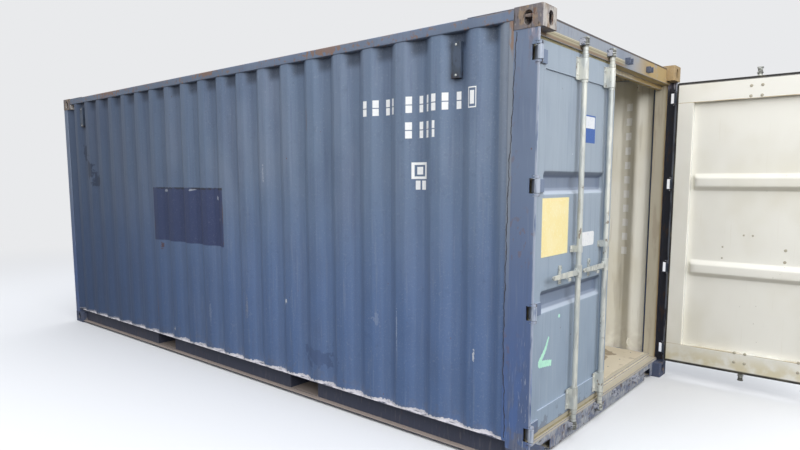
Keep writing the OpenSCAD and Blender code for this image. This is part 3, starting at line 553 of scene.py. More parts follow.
@dataclass
class JambPaint(PostPaint):
    """Enamel of the corner posts: cream jamb stained at its edge, painted shade behind the leaf."""

    inner: tuple[float, float] = (2.9485, 1.1667)
    scraped: float = 0.12
    edged: float = 0.35

    def layers(self) -> None:
        """Adds the jamb's stained edge, painted shade behind the hinges and the grey tail strip."""
        super().layers()
        jamb = self.times(self.band("y", -1.1667, 1.1667, 0.001), self.along("x", 2.92, 2.95))
        self.lay("#A8966C", 0.8, jamb, rough=0.8)
        self.lay("#80603C", 0.75, self.along("x", 2.935, 2.946), jamb,
                 self.pattern(0.02, 0.34, 0.56, 8, 3, 61))
        # The face behind the hinges is painted near black as shade and grime, with rust on it.
        shade_behind_hinges = self.times(self.band("y", -1.2085, 1.2085, 0.0005),
                            self.band("x", 2.9487, 3.03, 0.0003))
        self.lay("#35343A", 0.94, shade_behind_hinges, rough=0.8)
        self.lay("#5B4434", 0.5, shade_behind_hinges, self.pattern(0.03, 0.56, 0.66, 3, 4, 62))
        # Tail strip beside the wall: greyer and rusty high up; a painted shadow marks the joint.
        tail = self.times(self.band("x", 2.8, 2.853, 0.004), self.along("y", -1.1, -1.2))
        self.lay("#868E98", 0.75, tail, self.along("z", 0.7, 1.7))
        self.lay("#8A6A50", 0.8, tail, self.along("z", 2.25, 2.42),
                 self.pattern(0.03, 0.46, 0.58, 3, 4, 63))
        self.lay("#39415A", 0.3, self.band("x", 2.824, 2.8275, 0.001))
        # Paint rubbed pale and purple-grey on the front edge right under the upper casting.
        high = self.times(self.along("z", 2.4, 2.44), self.along("x", 2.935, 2.95))
        self.lay("#8C8592", 0.7, high, self.pattern(0.02, 0.4, 0.56, 4, 3, 68))
        self.lay("#C6C2CA", 0.7, high, self.pattern(0.008, 0.54, 0.62, 8, 3, 69))
        # The front edge is knocked pale all the way up.
        self.lay("#B4BBC9", 0.65, self.along("x", 2.996, 3.004),
                 self.pattern(0.02, 0.34, 0.5, 9, 3, 70), rough=0.7)
        # Fresh abrasions low on the outer face: brighter blue with pale and brown chips.
        low = self.times(self.along("z", 1.0, 0.3), self.along("y", -1.2085, -1.2095))
        self.lay("#4F6CA4", 0.6, low, self.pattern(0.05, 0.46, 0.56, 4, 4, 64))
        self.lay("#8E9DBB", 0.5, low, self.pattern(0.01, 0.62, 0.7, 9, 3, 65))
        near = self.times(low, self.along("x", 2.9, 2.95))
        self.lay("#C9CBCC", 0.6, near, self.pattern(0.006, 0.62, 0.7, 12, 3, 67))
        self.lay("#5E4A40", 0.8, low, self.pattern(0.018, 0.71, 0.75, 2, 4, 66))


@dataclass
class LeafPaint(MarineEnamel):
    """Enamel of a door leaf: blue outside and cream inside of the plane where the blue starts."""

    axis: str = "x"
    line: float = 2.945
    hollow: float = -9.0

    def layers(self) -> None:
        """Adds painted shade and light and drops outside, and the cream with its stains inside."""
        super().layers()
        # Faces turned down get painted shade with grime, faces turned up painted light with dust.
        self.lay("#4A556E", 0.6, self.facing("z", -0.12, -0.5))
        self.lay("#C6CFDC", 0.6, self.facing("z", 0.15, 0.55))
        # Painted shade in the channels, painted highlight on the hinge edge, a few white paint
        # drops.
        self.lay("#5F6B86", 0.6, self.along(self.axis, self.hollow, self.hollow - 0.01))
        hinge_edge_highlight = self.times(self.along("y", -1.132, -1.142),
                             self.pattern(0.015, 0.38, 0.52, 10, 3, 58))
        self.lay("#C6CDD8", 0.6, hinge_edge_highlight)
        self.lay("#E6E9EC", 0.8, self.specks(0.16, 0.028, seed=57),
                 self.pattern(0.5, 0.5, 0.58, seed=59))
        # Dust and old rubber along the foot of the leaf, with a dark line over it.
        self.lay("#B3A88E", 0.85, self.along("z", 0.186, 0.183), rough=0.85)
        self.lay("#5E5548", 0.7, self.band("z", 0.1855, 0.1875, 0.001))
        inner = self.along(self.axis, self.line, self.line - 0.0005)
        self.lay("#F0EEE5", 1.0, inner, rough=0.5)
        self.lay("#DDD8C6", 0.5, inner, self.pattern(0.5, 0.45, 0.7, 1.5, 3, 51))
        self.lay("#CFC7B0", 0.12, inner, self.pattern(0.02, 0.64, 0.78, 16, 2, 52))
        edge = self.either(self.band("z", 0.3035, 0.3075, 0.001),
                           self.band("z", 2.2885, 2.2915, 0.001))
        self.lay("#B9A06A", 0.8, inner, edge, self.pattern(0.12, 0.34, 0.5, (3, 3, 1), 3, 56))
        foot = self.times(self.along("z", 0.33, 0.19), self.pattern(0.09, 0.3, 0.62, 1, 4, 53))
        self.lay("#CDBE8C", 0.6, inner, foot, rough=0.7)
        dots = self.times(inner, self.specks(0.07, 0.05, seed=54),
                          self.pattern(0.3, 0.54, 0.62, seed=55))
        self.lay("#8B8474", 0.8, dots)
        rim = self.either(self.along("z", 0.168, 0.163), self.along("z", 2.428, 2.433))
        self.lay("#3B372F", 0.85, inner, rim, rough=0.8)


@dataclass
class CastSteel(Coat):
    """Sand-cast corner steel: worn to brown rust, with grey-blue paint left in runs."""

    base: str = "#7C716C"
    rough: Amount = 0.8

    def layers(self) -> None:
        """Rust with pits, leftover paint on the flats and pale worn rims."""
        self.lay("#A08A70", 0.65, self.pattern(0.045, 0.42, 0.6, detail=5, seed=1))
        self.lay("#7D5640", 0.7, self.pattern(0.022, 0.54, 0.66, 2, 5, 2))
        left = self.pattern(0.035, 0.47, 0.57, 3, 5, 3)
        self.lay("#686872", 0.75, left, rough=0.6)
        front = self.times(self.facing("x", 0.6, 0.9), self.along("y", 0.0, -0.5))
        self.lay("#C4BFB9", 0.75, front, self.pattern(0.05, 0.34, 0.56, 2, 4, 8))
        self.lay("#2F2A2A", 0.75, self.pattern(0.012, 0.58, 0.68, 5, 4, 4))
        self.lay("#C2B6A8", 0.4, self.pattern(0.014, 0.6, 0.72, 3, 3, 5))
        low = self.along("z", 0.9, 0.3)
        self.lay("#46536F", 0.9, low, self.pattern(0.05, 0.3, 0.46, detail=4, seed=6))
        far = self.times(self.along("y", 0.9, 1.0), self.along("z", 0.3, 0.9))
        self.lay("#B59A6B", 0.75, far)
        # Casting skin: sand texture 4 mm across and rust scale of 20 mm.
        self.emboss(self.pattern(0.004, 0.3, 0.7, detail=2), 0.35)
        self.emboss(self.pattern(0.02, 0.4, 0.65, detail=3, seed=7), 0.8)
        self.emboss(left, 0.25)


@dataclass
class HotDipZinc(Coat):
    """Hot-dip galvanised steel tube: dull pale grey with a cream cast, white rust and grime."""

    base: str = "#C3C7C4"
    rough: Amount = 0.48
    metal: float = 0.35

    def layers(self) -> None:
        """Zinc with spangle, white rust and grime in streaks."""
        self.lay("#E0E0D6", 0.7, self.pattern(0.06, 0.42, 0.6, 3, 3, 1), rough=0.6)
        self.lay("#9A9C98", 0.55, self.pattern(0.03, 0.52, 0.68, 5, 4, 2))
        self.lay("#6E5B48", 0.7, self.pattern(0.02, 0.6, 0.68, 2, 4, 3),
                 self.pattern(0.25, 0.48, 0.6, seed=4), rough=0.85)
        # The forged cam ends have lost their zinc: dark, greasy, with pale rubbed rings 9 mm apart.
        ends = self.either(self.along("z", 2.462, 2.47), self.along("z", 0.128, 0.12))
        self.lay("#55554F", 0.85, ends, self.pattern(0.012, 0.36, 0.5, (4, 4, 0.8), 2, 6),
                 rough=0.6)
        for low in (0.140, 0.172, 0.203, 2.403, 2.424, 2.446):
            self.lay("#6F6B60", 0.5, self.band("z", low, low + 0.002, 0.002))
        self.emboss(self.pattern(0.012, 0.3, 0.7, detail=2), 0.12)


@dataclass
class ForgedIron(Coat):
    """Forged iron of the floor screws: dark, greasy, with dull bright edges."""

    base: str = "#5A5A58"
    rough: Amount = 0.55
    metal: float = 0.5

    def layers(self) -> None:
        """Dark scale with rust and rubbed places."""
        self.lay("#8A8C8A", 0.6, self.pattern(0.02, 0.5, 0.64, detail=3, seed=1))
        self.lay("#5B3F2C", 0.7, self.pattern(0.016, 0.56, 0.66, detail=4, seed=2), rough=0.85)
        self.emboss(self.pattern(0.006, 0.3, 0.7, detail=2), 0.2)


@dataclass
class GasketRubber(Coat):
    """Extruded door gasket: once black, now grey-brown with dust and old paint."""

    base: str = "#2E2C2B"
    rough: Amount = 0.75

    def layers(self) -> None:
        """Rubber with dust along its lips."""
        outer = self.times(self.along("x", 2.94, 2.945), self.along("x", 2.975, 2.965))
        self.lay("#A39A78", 0.9, outer, rough=0.9)
        self.lay("#6E6854", 0.4, self.pattern(0.05, 0.52, 0.66, (2, 2, 2), 3, 1), rough=0.9)
        self.lay("#26241F", 0.6, self.pattern(0.02, 0.6, 0.7, detail=3, seed=2))
        self.emboss(self.pattern(0.006, 0.3, 0.7, detail=1), 0.15)


@dataclass
class FloorPly(Coat):
    """Keruing plywood boards: brown, dusted pale by cargo, with long grain and dark debris."""

    base: str = "#B5A284"
    rough: Amount = 0.8

    def layers(self) -> None:
        """Long grain, dust, painted light near the door and a brown streak of debris there."""
        # Veneer grain 3 mm wide, drawn at 9 mm so that it shows.
        self.lay("#8C7457", 0.4, self.pattern(0.009, 0.45, 0.65, (60, 1, 1), 3, 1))
        self.lay("#D6CAB3", 0.8, self.pattern(0.3, 0.34, 0.56, (1.5, 1, 1), 5, 2), rough=0.9)
        # Painted light: the boards turn paler towards the door, where light falls in.
        self.lay("#EADFC8", 0.75, self.along("x", 1.9, 2.7))
        wet = self.ragged(self.patch((2.35, 2.62), (-0.1, 1.0), None, 0.1), 0.09, 1.0, 3)
        self.lay("#7A6246", 0.6, wet)
        self.lay("#5C4734", 0.35, self.specks(0.06, 0.1, seed=4))
        self.emboss(self.pattern(0.009, 0.4, 0.7, (60, 1, 1), 2, 5), 0.3)


@dataclass
class MouldedPlastic(Coat):
    """Injection-moulded vent cover, painted over with the wall and worn back to dark grey."""

    base: str = "#3B4655"

    def layers(self) -> None:
        """Dark plastic with paint left on it."""
        self.lay("#52617A", 0.4, self.pattern(0.05, 0.45, 0.6, 2, 3, 1))
        low = self.along("z", 2.31, 2.28)
        self.lay("#332B2E", 0.75, low, self.pattern(0.03, 0.4, 0.56, detail=3, seed=3))
        self.lay("#23262C", 0.6, self.pattern(0.02, 0.58, 0.7, 2, 3, 2))
        self.emboss(self.pattern(0.01, 0.3, 0.7), 0.1)


@dataclass
class FlatFilm(Coat):
    """A printed film or thin sprayed paint: one colour, faded and rubbed in blotches."""

    rough: Amount = 0.55
    worn: str = "#C9CFD9"
    under: float = 0.35

    def layers(self) -> None:
        """The colour with rubbed blotches and fine grain."""
        self.lay(self.worn, self.under, self.pattern(0.018, 0.54, 0.64, detail=4, seed=1))
        self.lay(self.worn, self.under * 0.6, self.pattern(0.15, 0.45, 0.7, detail=3, seed=2))
        self.emboss(self.pattern(0.006, 0.3, 0.7), 0.05)


def grid_faces(rows: int, columns: int, ring: bool = False) -> np.ndarray:
    """Quads of a grid of points stored row by row.

    Args:
        rows: number of rows.
        columns: points in a row.
        ring: whether each row closes on itself.

    Returns:
        Four point numbers a face.
    """
    across = columns if ring else columns - 1
    row, column = np.meshgrid(np.arange(rows - 1), np.arange(across), indexing="ij")
    after = (column + 1) % columns
    start = row * columns
    return np.stack([start + column, start + after, start + columns + after,
                     start + columns + column], -1).reshape(-1, 4)


def stand(mesh: bpy.types.Mesh, skins: Sequence[bpy.types.Material], body: str,
          seam: float) -> bpy.types.Object:
    """Stands a mesh in the scene as one piece, under the mesh's name.

    Args:
        mesh: the mesh, without materials.
        skins: its materials.
        body: moving body it rides on.
        seam: angle in degrees above which an edge stays sharp.

    Returns:
        The new object.
    """
    for skin in skins:
        mesh.materials.append(skin)
    mesh.polygons.foreach_set("use_smooth", np.ones(len(mesh.polygons), bool))
    mesh.set_sharp_from_angle(angle=radians(seam))
    mesh.update()
    thing = bpy.data.objects.new(mesh.name, mesh)
    bpy.context.scene.collection.objects.link(thing)
    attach(thing, body)
    log.info("%s: %d faces on %s", thing.name, len(mesh.polygons), body)
    return thing


def put(name: str, points: Points, faces: list | np.ndarray, skins: Sequence[bpy.types.Material],
        body: str, seam: float = 35.0) -> bpy.types.Object:
    """Makes one piece of the scene from its points and faces.

    Args:
        name: name of the piece.
        points: N by 3 array in metres.
        faces: point numbers of each face, outward.
        skins: its materials.
        body: moving body it rides on.
        seam: angle in degrees above which an edge stays sharp.

    Returns:
        The new object.
    """
    mesh = bpy.data.meshes.new(name)
    rows = faces.tolist() if isinstance(faces, np.ndarray) else faces
    mesh.from_pydata(np.asarray(points, float).reshape(-1, 3).tolist(), [], rows)
    return stand(mesh, skins, body, seam)


def thicken(thing: bpy.types.Object, thickness: float, back: int = 0) -> bpy.types.Object:
    """Gives a sheet its thickness behind its face, with crisp rims.

    Args:
        thing: a single sheet that faces outward.
        thickness: metres.
        back: how many material places further the back's material is.

    Returns:
        The same object.
    """
    wall = thing.modifiers.new("thickness", "SOLIDIFY")
    wall.thickness = thickness
    wall.offset = -1.0
    wall.material_offset = back
    mesh = thing.data
    edges = np.empty(len(mesh.loops), np.int32)
    mesh.loops.foreach_get("edge_index", edges)
    sharp = np.empty(len(mesh.edges), bool)
    mesh.edges.foreach_get("use_edge_sharp", sharp)
    rim = np.bincount(edges, minlength=len(sharp)) == 1
    mesh.edges.foreach_set("use_edge_sharp", sharp | rim)
    return thing


def ease(node: str, skins: Sequence[bpy.types.Material], body: str,
         width: float = 0.0015, segments: int = 2) -> None:
    """Stands a piece for a CAD solid: its own shape with rolled, cast or sawn edges eased.

    Args:
        node: the CAD node.
        skins: its materials; a second one goes on the eased edges.
        body: moving body it rides on.
        width: width of the eased edge in metres, 0 for none.
        segments: steps of the rounding.
    """
    shape = bmesh.new()
    shape.from_mesh(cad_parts[node].data)
    bmesh.ops.remove_doubles(shape, verts=shape.verts, dist=2e-5)
    bmesh.ops.dissolve_limit(shape, angle_limit=radians(0.5), verts=shape.verts, edges=shape.edges)
    mesh = bpy.data.meshes.new(node + "_dressed")
    shape.to_mesh(mesh)
    shape.free()
    worn = mesh.attributes.get("custom_normal")
    if worn is not None:
        mesh.attributes.remove(worn)
    mesh.materials.clear()
    mesh.polygons.foreach_set("material_index", np.zeros(len(mesh.polygons), np.int32))
    thing = stand(mesh, skins, body, EDGE_ANGLE)
    if width > 0:
        edge = thing.modifiers.new("eased edges", "BEVEL")
        edge.width = width
        edge.segments = segments
        edge.limit_method = "ANGLE"
        edge.angle_limit = radians(EDGE_ANGLE)
        edge.use_clamp_overlap = True
        edge.harden_normals = True
        edge.material = 1 if len(skins) > 1 else -1
    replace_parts(thing, node)


@dataclass(frozen=True)
class Press:
    """A row of pressed recesses across a sheet, as the roll or die leaves them."""

    centres: tuple[float, ...]
    flats: tuple[float, ...]
    slope: float
    depth: float
    bend: float = 0.022

    def depth_at(self, along: np.ndarray) -> np.ndarray:
        """Depth of the recess: a straight-sided recess averaged over a window as wide as the bend.

        The straight-sided recess is depth times (half flat + slope - distance from its middle) /
        slope, held between 0 and depth.

        Args:
            along: positions across the sheet.

        Returns:
            Depth at each position.
        """
        window = np.linspace(-0.5, 0.5, 9)[:, None, None] * self.bend
        gap = np.abs(along.reshape(1, -1, 1) + window - np.array(self.centres))
        share = np.clip((np.array(self.flats) / 2 + self.slope - gap) / self.slope, 0, 1)
        return (self.depth * share.max(-1).mean(0)).reshape(along.shape)

    def stations(self, low: float, high: float, extra: Sequence[float] = ()) -> np.ndarray:
        """Positions across the sheet, close together in the bends and far apart on the flats.

        Args:
            low: first position.
            high: last position.
            extra: further positions that must be there.

        Returns:
            Sorted positions.
        """
        middle = np.array(self.centres)[:, None]
        half = np.array(self.flats)[:, None] / 2
        bend = np.linspace(-0.6, 0.6, 7) * self.bend
        marks = [middle + side * (half + run) + bend for side in (-1, 1) for run in (0, self.slope)]
        marks += [middle, middle + half + self.slope + 0.035, middle - half - self.slope - 0.035]
        every = np.concatenate([m.ravel() for m in marks] + [np.array([low, high, *extra])])
        return np.unique(np.round(every[(every >= low) & (every <= high)], 5))


def dents(a: np.ndarray, b: np.ndarray, seed: int, count: int, deep: float, reach: Span,
          a_span: Span, b_span: Span) -> np.ndarray:
    """Shallow dents: the sum of depth * exp(-(distance / radius)^2) over places from the seed.

    Args:
        a: first coordinate of each point.
        b: second coordinate.
        seed: seed of the places.
        count: number of dents.
        deep: greatest depth.
        reach: least and greatest radius.
        a_span: range of the first coordinate.
        b_span: range of the second.

    Returns:
        Depth at each point, never negative.
    """
    draw = np.random.default_rng(seed)
    at_a = draw.uniform(*a_span, count)
    at_b = draw.uniform(*b_span, count)
    radius = draw.uniform(*reach, count)
    depth = draw.uniform(0.2, 1.0, count) * deep
    far = ((a[..., None] - at_a) ** 2 + (b[..., None] - at_b) ** 2) / radius ** 2
    return np.minimum((depth * np.exp(-far)).sum(-1), deep * 1.4)


@dataclass
class SideWall:
    """A long corrugated wall, with the marks painted on the left one."""

    side: int
    skins: Sequence[bpy.types.Material]
    ends: Span = (-2.9437, 2.8247)
    heights: Span = (SILL_TOP, RAIL_LOW)
    notch: Span = (-2.8507, 2.4727)
    press: Press = field(default_factory=lambda: Press(
        (-2.8457, *(-2.60236 + 0.28167 * np.arange(19)), 2.7097), (0.022, *[0.070] * 19, 0.022),
        0.068, 0.036))

    def out(self, x: np.ndarray, z: np.ndarray) -> np.ndarray:
        """Distance of the outer face from the middle plane: wall plane less recess and dents.

        Args:
            x: places along the wall.
            z: heights.

        Returns:
            The distance at each of them.
        """
        dent = dents(x, z, 5 + self.side, 34, 0.0035, (0.10, 0.30), self.ends, self.heights)
        rim = np.clip(np.minimum(z - self.heights[0], self.heights[1] - z) / 0.15, 0, 1)
        return WALL_Y - self.press.depth_at(x) - dent * rim

    def build(self) -> None:
        """Makes the wall: columns close together in the bends, 44 rows up the wall."""
        node = "left_side_wall" if self.side < 0 else "right_side_wall"
        x = self.press.stations(*self.ends, (self.notch[0] - 0.0005, self.notch[0] + 0.0005))
        low, high = self.heights
        top = np.where(x < self.notch[0], self.notch[1], high)
        share = np.linspace(0, 1, 44)[:, None]
        z = low + share * (top - low)
        x = np.broadcast_to(x, z.shape)
        points = np.stack([x, self.side * self.out(x, z), z], -1)
        faces = grid_faces(*z.shape)
        faces = faces if self.side < 0 else faces[:, ::-1]
        wall = put(node + "_sheet", points, faces, self.skins, BOX)
        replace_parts(thicken(wall, SHEET, 1), node)

    def marks(self, skin: bpy.types.Material) -> None:
        """Sprays plain stencilled bars where this wall carries its markings.

        Args:
            skin: the stencil paint.
        """
        upper = ((1.718, 1.764), (1.800, 1.853), (1.893, 1.937), (1.957, 1.986), (2.082, 2.134),
                 (2.171, 2.210), (2.238, 2.264), (2.287, 2.332), (2.363, 2.413), (2.450, 2.496))
        lower = ((2.079, 2.134), (2.172, 2.211), (2.235, 2.268), (2.296, 2.323))
        rows = ((upper, ((2.090, 2.136), (2.142, 2.190))),
                (lower, ((1.932, 1.979), (1.985, 2.032))))
        bars = [(0.86 * a + 0.14 * b, 0.14 * a + 0.86 * b, *half) for spans, halves in rows
                for a, b in spans for half in halves]
        # The frame round the last bar, and the boxed mark with two bars under it.
        bars += [
            (2.557, 2.616, 2.199, 2.206), (2.557, 2.616, 2.087, 2.094),
            (2.557, 2.563, 2.094, 2.199), (2.61, 2.616, 2.094, 2.199), (2.572, 2.601, 2.108, 2.185),
            (2.124, 2.243, 1.766, 1.782), (2.124, 2.243, 1.678, 1.694),
            (2.124, 2.142, 1.694, 1.766), (2.225, 2.243, 1.694, 1.766), (2.16, 2.207, 1.706, 1.754),
            (2.15, 2.186, 1.611, 1.668), (2.2, 2.236, 1.611, 1.668)]
        self.bars("stencil_bars", np.array(bars), 0.0008, Slot.PAINT, skin)

    def inner_marks(self, skin: bpy.types.Material) -> None:
        """Faint bars down the inside of this wall by the door, 1 mm proud of its inner face.

        Args:
            skin: the faded stencil paint.
        """
        middle = 2.30 - 0.125 * np.arange(11)
        near, far = np.full(11, 2.604), np.full(11, 2.656)
        box = np.column_stack([near, far, middle - 0.032, middle + 0.032])
        self.bars("inner_stencil_bars", box, -0.0032, Slot.LINING, skin)

    def bars(self, name: str, box: Points, lift: float, slot: Slot,
             skin: bpy.types.Material) -> None:
        """Thin films on the wall, each a grid of 2 by 12 points that follows its outer face.

        Args:
            name: name of the piece.
            box: a row for each bar: least and greatest x, least and greatest z.
            lift: height over the outer face.
            slot: the record's material slot; not used.
            skin: the stencil paint.
        """
        start, reach = box[:, 0::2, None, None], np.diff(box)[:, 0::2, None, None]
        x = start[:, 0] + reach[:, 0] * np.linspace(0, 1, 12)
        z = start[:, 1] + reach[:, 1] * np.array([[0.0], [1.0]])
        x, z = np.broadcast_arrays(x, z)
        y = self.side * (self.out(x, z) + lift)
        faces = grid_faces(2, 12)[None] + (np.arange(len(box)) * 24)[:, None, None]
        bar = put(name, np.stack([x, y, z], -1), faces.reshape(-1, 4), [skin], BOX)
        thicken(bar, 0.0004)


@dataclass
class EndWall:
    """The corrugated front wall and the pressed roof sheet."""

    skins: Sequence[bpy.types.Material]
    front_x: float = 3.021
    front_top: float = 2.4727
    front_half: float = 1.1257
    roof_z: float = 2.583
    roof_halves: Span = (2.8507, 1.1557)
    front: Press = field(default_factory=lambda: Press(
        tuple(-1.0 + 0.25 * np.arange(9)), (0.104,) * 9, 0.018, 0.045, 0.016))
    roof: Press = field(default_factory=lambda: Press(
        tuple(-2.6125 + 0.209 * np.arange(26)), (0.036,) * 26, 0.069, 0.020, 0.026))

    def build_front(self) -> None:
        """Front wall: x is the outer plane plus the recess and dents, over y and z."""
        y = self.front.stations(-self.front_half, self.front_half)
        z = np.linspace(SILL_TOP, self.front_top, 34)[:, None]
        y, z = np.broadcast_arrays(y, z)
        dent = dents(y, z, 8, 12, 0.003, (0.10, 0.3), (-1.1, 1.1), (0.3, 2.3))
        x = -(self.front_x - self.front.depth_at(y) - dent)
        wall = put("front_wall_sheet", np.stack([x, y, z], -1), grid_faces(*z.shape)[:, ::-1],
                   self.skins, BOX)
        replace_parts(thicken(wall, SHEET, 1), "front_wall")

    def build_roof(self) -> None:
        """Roof: z is the crown height less the recess and the hollows left by walking on it."""
        long, wide = self.roof_halves
        x = self.roof.stations(-long, long)
        y = np.linspace(-wide, wide, 30)[:, None]
        x, y = np.broadcast_arrays(x, y)
        rim = np.clip((wide - np.abs(y)) / 0.1, 0, 1) * np.clip((long - np.abs(x)) / 0.1, 0, 1)
        sag = dents(x, y, 9, 26, 0.005, (0.12, 0.4), (-2.7, 2.7), (-1.0, 1.0)) * rim
        z = self.roof_z - self.roof.depth_at(x) - sag
        sheet = put("roof_sheet", np.stack([x, y, z], -1), grid_faces(*x.shape), self.skins, BOX)
        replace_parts(thicken(sheet, SHEET, 1), "roof_panel")


def button_head(radius: float, height: float, sides: int = 14) -> tuple[Points, list]:
    """A washer with a domed head on it: a profile of radius and height turned about its axis.

    Args:
        radius: washer radius.
        height: height of the whole.
        sides: steps round the axis.

    Returns:
        Points with the axis along z, and faces.
    """
    profile = np.array([(1.0, 0.0), (1.0, 0.16), (0.94, 0.22), (0.66, 0.24), (0.64, 0.55),
                        (0.52, 0.82), (0.30, 0.96), (0.06, 1.0)])
    turn = np.linspace(0, 2 * np.pi, sides, endpoint=False)
    ring = profile[:, None, 0] * radius
    points = np.stack([ring * np.cos(turn), ring * np.sin(turn),
                       np.broadcast_to(profile[:, None, 1] * height, (len(profile), sides))], -1)
    faces = grid_faces(len(profile), sides, True).tolist()
    last = (len(profile) - 1) * sides
    faces += [list(range(sides))[::-1], list(range(last, last + sides))]
    return points.reshape(-1, 3), faces


def stamp(template: tuple[Points, list], spots: Points, basis: Points) -> tuple[Points, list]:
    """Repeats one shape at many places.

    Args:
        template: its points and faces.
        spots: N by 3 places.
        basis: the three rows that its own axes turn into.

    Returns:
        Points and faces of all the copies.
    """
    shape, faces = template
    points = (spots[:, None, :] + shape @ basis).reshape(-1, 3)
    shift = np.arange(len(spots)) * len(shape)
    quads = np.array([f for f in faces if len(f) == 4])
    caps = [f for f in faces if len(f) != 4]
    every = (quads[None] + shift[:, None, None]).reshape(-1, 4).tolist()
    for cap in caps:
        every += (np.array(cap)[None] + shift[:, None]).tolist()
    return points, every


@dataclass
class DoorLeaf:
    """One door leaf with its gear. All sizes are those of the left leaf, closed; the right leaf is
    the same leaf mirrored and swung open on its pins."""

    hand: Hand
    paint: bpy.types.Material
    skins: Sequence[bpy.types.Material]
    worn: bpy.types.Material
    zinc: bpy.types.Material
    rubber: bpy.types.Material
    hinge: bpy.types.Material
    collar: bpy.types.Material
    window_y: Span = (-1.035, -0.122)
    window_z: Span = (0.308, 2.288)
    channels: Press = Press((0.957, 1.655), (0.066, 0.066), 0.032, 0.036, 0.014)
    channel_y: Span = (-1.0206, -0.1358)

    @property
    def body(self) -> str:
        """The leaf's moving body."""
        return f"{self.hand.value}_door"

    def place(self, points: Points) -> Points:
        """Carries points of the closed left leaf to this leaf at rest.

        For the right leaf a point (x, y) goes to (pin x + y + pin y, pin y + x - pin x): mirrored
        in the middle plane and turned a quarter about its pins.

        Args:
            points: N by 3 array.

        Returns:
            The placed points.
        """
        if self.hand is Hand.LEFT:
            return points
        x, y, z = np.moveaxis(points, -1, 0)
        return np.stack([PIN_X + y + PIN_Y, PIN_Y + x - PIN_X, z], -1)

    def wind(self, faces: list | np.ndarray) -> list:
        """Turns the faces round for the mirrored leaf."""
        rows = faces.tolist() if isinstance(faces, np.ndarray) else faces
        return rows if self.hand is Hand.LEFT else [face[::-1] for face in rows]

    def surface(self, y: np.ndarray, z: np.ndarray) -> np.ndarray:
        """Outer face of the panel: its plane less the channels, sloped at both ends, and dents.

        Args:
            y: places across the closed left leaf.
            z: heights.

        Returns:
            x of the face at each of them.
        """
        low, high = self.channel_y
        slope = self.channels.slope
        ends = np.clip(np.minimum(y - low, high - y) / slope, 0, 1)
        ends = ends * ends * (3 - 2 * ends)
        rim = np.clip(np.minimum(y - self.window_y[0], self.window_y[1] - y) / 0.1, 0, 1)
        dent = dents(y, z, 12, 9, 0.002, (0.12, 0.3), self.window_y, self.window_z) * rim
        return PANEL_FRONT - self.channels.depth_at(z) * ends - dent

    def build_panel(self) -> None:
        """The pressed sheet of the leaf, over y and z, 2.5 mm thick."""
        low, high = self.channel_y
        slope = self.channels.slope
        edge = np.linspace(0, 1, 7) * slope
        every = np.concatenate([np.linspace(*self.window_y, 24), low + edge, high - edge])
        y = np.unique(np.round(every, 5))
        z = self.channels.stations(*self.window_z, np.linspace(*self.window_z, 30))[:, None]
        y, z = np.broadcast_arrays(y, z)
        points = self.place(np.stack([self.surface(y, z), y, z], -1).reshape(-1, 3))
        node = f"{self.hand.value}_door_panel"
        sheet = put(node + "_sheet", points, self.wind(grid_faces(*y.shape)), self.skins, self.body,
                    50)
        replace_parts(thicken(sheet, 0.0025, 1), node)

    def build_steel(self) -> None:
        """Eases the edges of the frame, blades, guides, catches, rods and handles."""
        hand, body = self.hand.value, self.body
        ease(f"{hand}_door_frame", [self.paint, self.worn], body, 0.004, segments=3)
        ease(f"{hand}_hinge_blades", [self.hinge], body)
        for node, own, width in (("rod_guides", body, 0.0012), ("handle_catches", body, 0.0012),
                                 ("outer_rod", f"{hand}_outer_rod_body", 0.0010),
                                 ("outer_handle", f"{hand}_outer_handle_body", 0.0015),
                                 ("inner_rod", f"{hand}_inner_rod_body", 0.0010),
                                 ("inner_handle", f"{hand}_inner_handle_body", 0.0015)):
            ease(f"{hand}_{node}", [self.zinc], own, width)

    def build_gasket(self) -> None:
        """Extruded double-lip gasket round the leaf: a profile carried round the leaf's rectangle.

        The profile holds how far each point stands off the leaf's edge and how far behind its
        front; at a corner the ring turns on a small radius, so that the lips fan out.
        """
        profile = np.array([(0.2, -50.0), (14.3, -50.5), (14.5, -48.5), (6.0, -46.0), (4.0, -40.0),
                            (4.0, -16.0), (7.0, -10.0), (13.8, -6.5), (13.4, -4.2), (6.0, -6.5),
                            (0.2, -8.0)]) / 1000
        low_y, high_y = -1.150, -0.012
        low_z, high_z = 0.160, 2.436
        turn = np.linspace(0, np.pi / 2, 6)
        # y and z of each corner of the leaf, and the turn of its lips in half circles.
        corners = ((high_y, high_z, 0.0), (low_y, high_z, 0.5), (low_y, low_z, 1.0),
                   (high_y, low_z, 1.5))
        corner = np.repeat(np.array(corners), len(turn), 0)
        angle = corner[:, 2] * np.pi + np.tile(turn, len(corners))
        way = np.stack([np.cos(angle), np.sin(angle)], -1)
        reach = np.where(way[:, 0] > 0.5, 0.55, 1.0)[:, None] * profile[None, :, 0]
        y = corner[:, None, 0] + way[:, None, 0] * reach
        z = corner[:, None, 1] + way[:, None, 1] * reach
        x = np.broadcast_to(LEAF_FRONT + profile[None, :, 1], y.shape)
        count, across = y.shape
        after = (np.arange(count) + 1) % count
        start = np.arange(count)[:, None] * across + np.arange(across)[None]
        beyond = after[:, None] * across + np.arange(across)[None]
        faces = np.stack([start, beyond, np.roll(beyond, -1, 1), np.roll(start, -1, 1)], -1)
        node = f"{self.hand.value}_door_gasket"
        ring = put(node + "_lips", self.place(np.stack([x, y, z], -1).reshape(-1, 3)),
                   self.wind(faces.reshape(-1, 4)), [self.rubber], self.body, 30)
        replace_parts(ring, node)

    def build_bolts(self) -> None:
        """Button-head lockbolts on the guides and catches, and their collars on the inside."""
